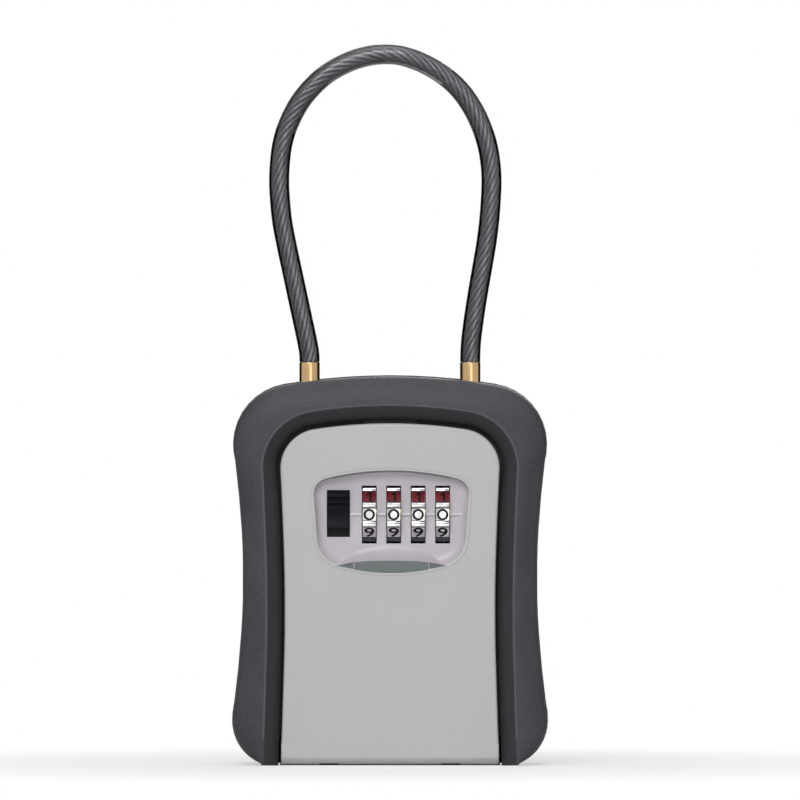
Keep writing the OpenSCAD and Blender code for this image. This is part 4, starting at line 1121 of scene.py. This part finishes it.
class SAFE_OT_ferrules(Operator):
    """Turned brass ferrules at the ends of the cable"""
    bl_idname = "safe.ferrules"
    bl_label = "Ferrules"

    def execute(self, context):
        plate = cad_box("release_plate")
        for name, (low, high) in (("left", LEFT_FERRULE), ("right", RIGHT_FERRULE)):
            mid, r = (low + high) / 2, (high.x - low.x) / 2
            neck_low, neck_high = plate[0].z - 0.2, plate[1].z + 0.2
            bore = ROPE_D / 2 + 0.1
            profile = [(r - 0.5, low.z), (r, low.z + 0.5), (r, neck_low), (1.9, neck_low), (1.9, neck_high),
                       (r, neck_high), (r, high.z), (bore, high.z), (bore, high.z - 10)]
            turns = [2 * math.pi * j / 72 for j in range(72)]
            rings = [[(mid.x + rr * math.cos(a), mid.y + rr * math.sin(a), z) for a in turns]
                     for rr, z in profile]
            piece = coated(bevelled(skin("ferrule", rings), 0.16, 40, 3), "turned_brass")
            piece.name = f"brass_ferrule_{name}"
            finished(smooth(piece, 30), "shackle", "ferrule_brass", f"ferrule_{name}")
        return {"FINISHED"}


class SAFE_OT_case(Operator):
    """Cast case with its back plate, pad, keeper, hinge pin and door seal"""
    bl_idname = "safe.case"
    bl_label = "Case"

    def execute(self, context):
        refine_all(
            ("case_shell", "cast_black", 0.25), ("back_pad", "pad_rubber", 0.3),
            ("back_plate", "cast_black", 0.3), ("keeper", "black_oxide", 0.12),
            ("hinge_pin", "plated_steel", 0.15), ("door_seal", "pad_rubber", 0.1))
        return {"FINISHED"}


class SAFE_OT_lock(Operator):
    """Works behind the dials: cover, slide, bolt, comb, sleeves and spindle"""
    bl_idname = "safe.lock"
    bl_label = "Lock works"

    def execute(self, context):
        refine_all(
            ("mechanism_cover", "plated_steel", 0.3), ("fence_slide", "black_oxide", 0.1),
            ("bolt", "plated_steel", 0.12), ("change_comb", "plated_steel", 0.08),
            ("change_tab", "black_nylon", 0.2), ("spindle", "plated_steel", 0.12),
            ("spindle_clips", "dark_steel", 0.05), ("sleeve_washers", "sheet_brass", 0.05),
            ("detent_spring", "spring_wire", 0.05),
            *((f"code_sleeve_{k + 1}", "sheet_brass", 0.08) for k in range(DIAL_COUNT)))
        return {"FINISHED"}


class SAFE_OT_release(Operator):
    """Release of the shackle inside the top: plate, tab and retainer"""
    bl_idname = "safe.release"
    bl_label = "Release"

    def execute(self, context):
        refine_all(
            ("release_plate", "plated_steel", 0.15), ("release_tab", "black_nylon", 0.2),
            ("release_retainer", "plated_steel", 0.1))
        return {"FINISHED"}


class SAFE_OT_springs(Operator):
    """Coil springs of the button, the bolt and the release"""
    bl_idname = "safe.springs"
    bl_label = "Springs"

    def execute(self, context):
        for node in ("bolt_spring", "release_spring"):
            refined(node, "spring_wire", 0, 60)
        # The button's spring gets a mesh of its own
        spring = refined("button_spring", "spring_wire", 0, 60)
        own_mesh(spring)
        return {"FINISHED"}


class SAFE_OT_screws(Operator):
    """Screws of the surround, the keeper, the retainer and the cover"""
    bl_idname = "safe.screws"
    bl_label = "Screws"

    def execute(self, context):
        refine_all(*(
            (f"{held}_screws", "plated_steel", 0.1) for held in ("surround", "keeper", "retainer", "cover")))
        return {"FINISHED"}


STEPS = (
    SAFE_OT_stage, SAFE_OT_cable, SAFE_OT_ferrules, SAFE_OT_surround, SAFE_OT_door, SAFE_OT_bezel,
    SAFE_OT_dials, SAFE_OT_button, SAFE_OT_case, SAFE_OT_lock, SAFE_OT_release, SAFE_OT_springs,
    SAFE_OT_screws)


class SAFE_PT_panel(Panel):
    """Sidebar panel that lists the pieces of the key safe"""
    bl_label = "Key Safe"
    bl_idname = "SAFE_PT_panel"
    bl_space_type = "VIEW_3D"
    bl_region_type = "UI"
    bl_category = "Key Safe"

    def draw(self, context):
        column = self.layout.column()
        for name in Sizes.__annotations__:
            column.prop(context.scene.safe_sizes, name)
        for name in Finishes.__annotations__:
            column.prop(context.scene.safe_finishes, name)
        for step in STEPS:
            column.operator(step.bl_idname)


CLASSES = (Finishes, Sizes, *STEPS, SAFE_PT_panel)


def register():
    for each in CLASSES:
        bpy.utils.register_class(each)
    bpy.types.Scene.safe_sizes = PointerProperty(type=Sizes)
    bpy.types.Scene.safe_finishes = PointerProperty(type=Finishes)


def unregister():
    del bpy.types.Scene.safe_finishes
    del bpy.types.Scene.safe_sizes
    for each in reversed(CLASSES):
        bpy.utils.unregister_class(each)


def main():
    register()
    scene = bpy.context.scene
    make_materials(scene.safe_finishes, scene.safe_sizes)
    bpy.ops.safe.stage()
    bpy.ops.safe.cable()
    bpy.ops.safe.ferrules()
    bpy.ops.safe.surround()
    bpy.ops.safe.door()
    bpy.ops.safe.bezel()
    bpy.ops.safe.dials()
    bpy.ops.safe.button()
    bpy.ops.safe.case()
    bpy.ops.safe.lock()
    bpy.ops.safe.release()
    bpy.ops.safe.springs()
    bpy.ops.safe.screws()


if __name__ == "__main__":
    main()
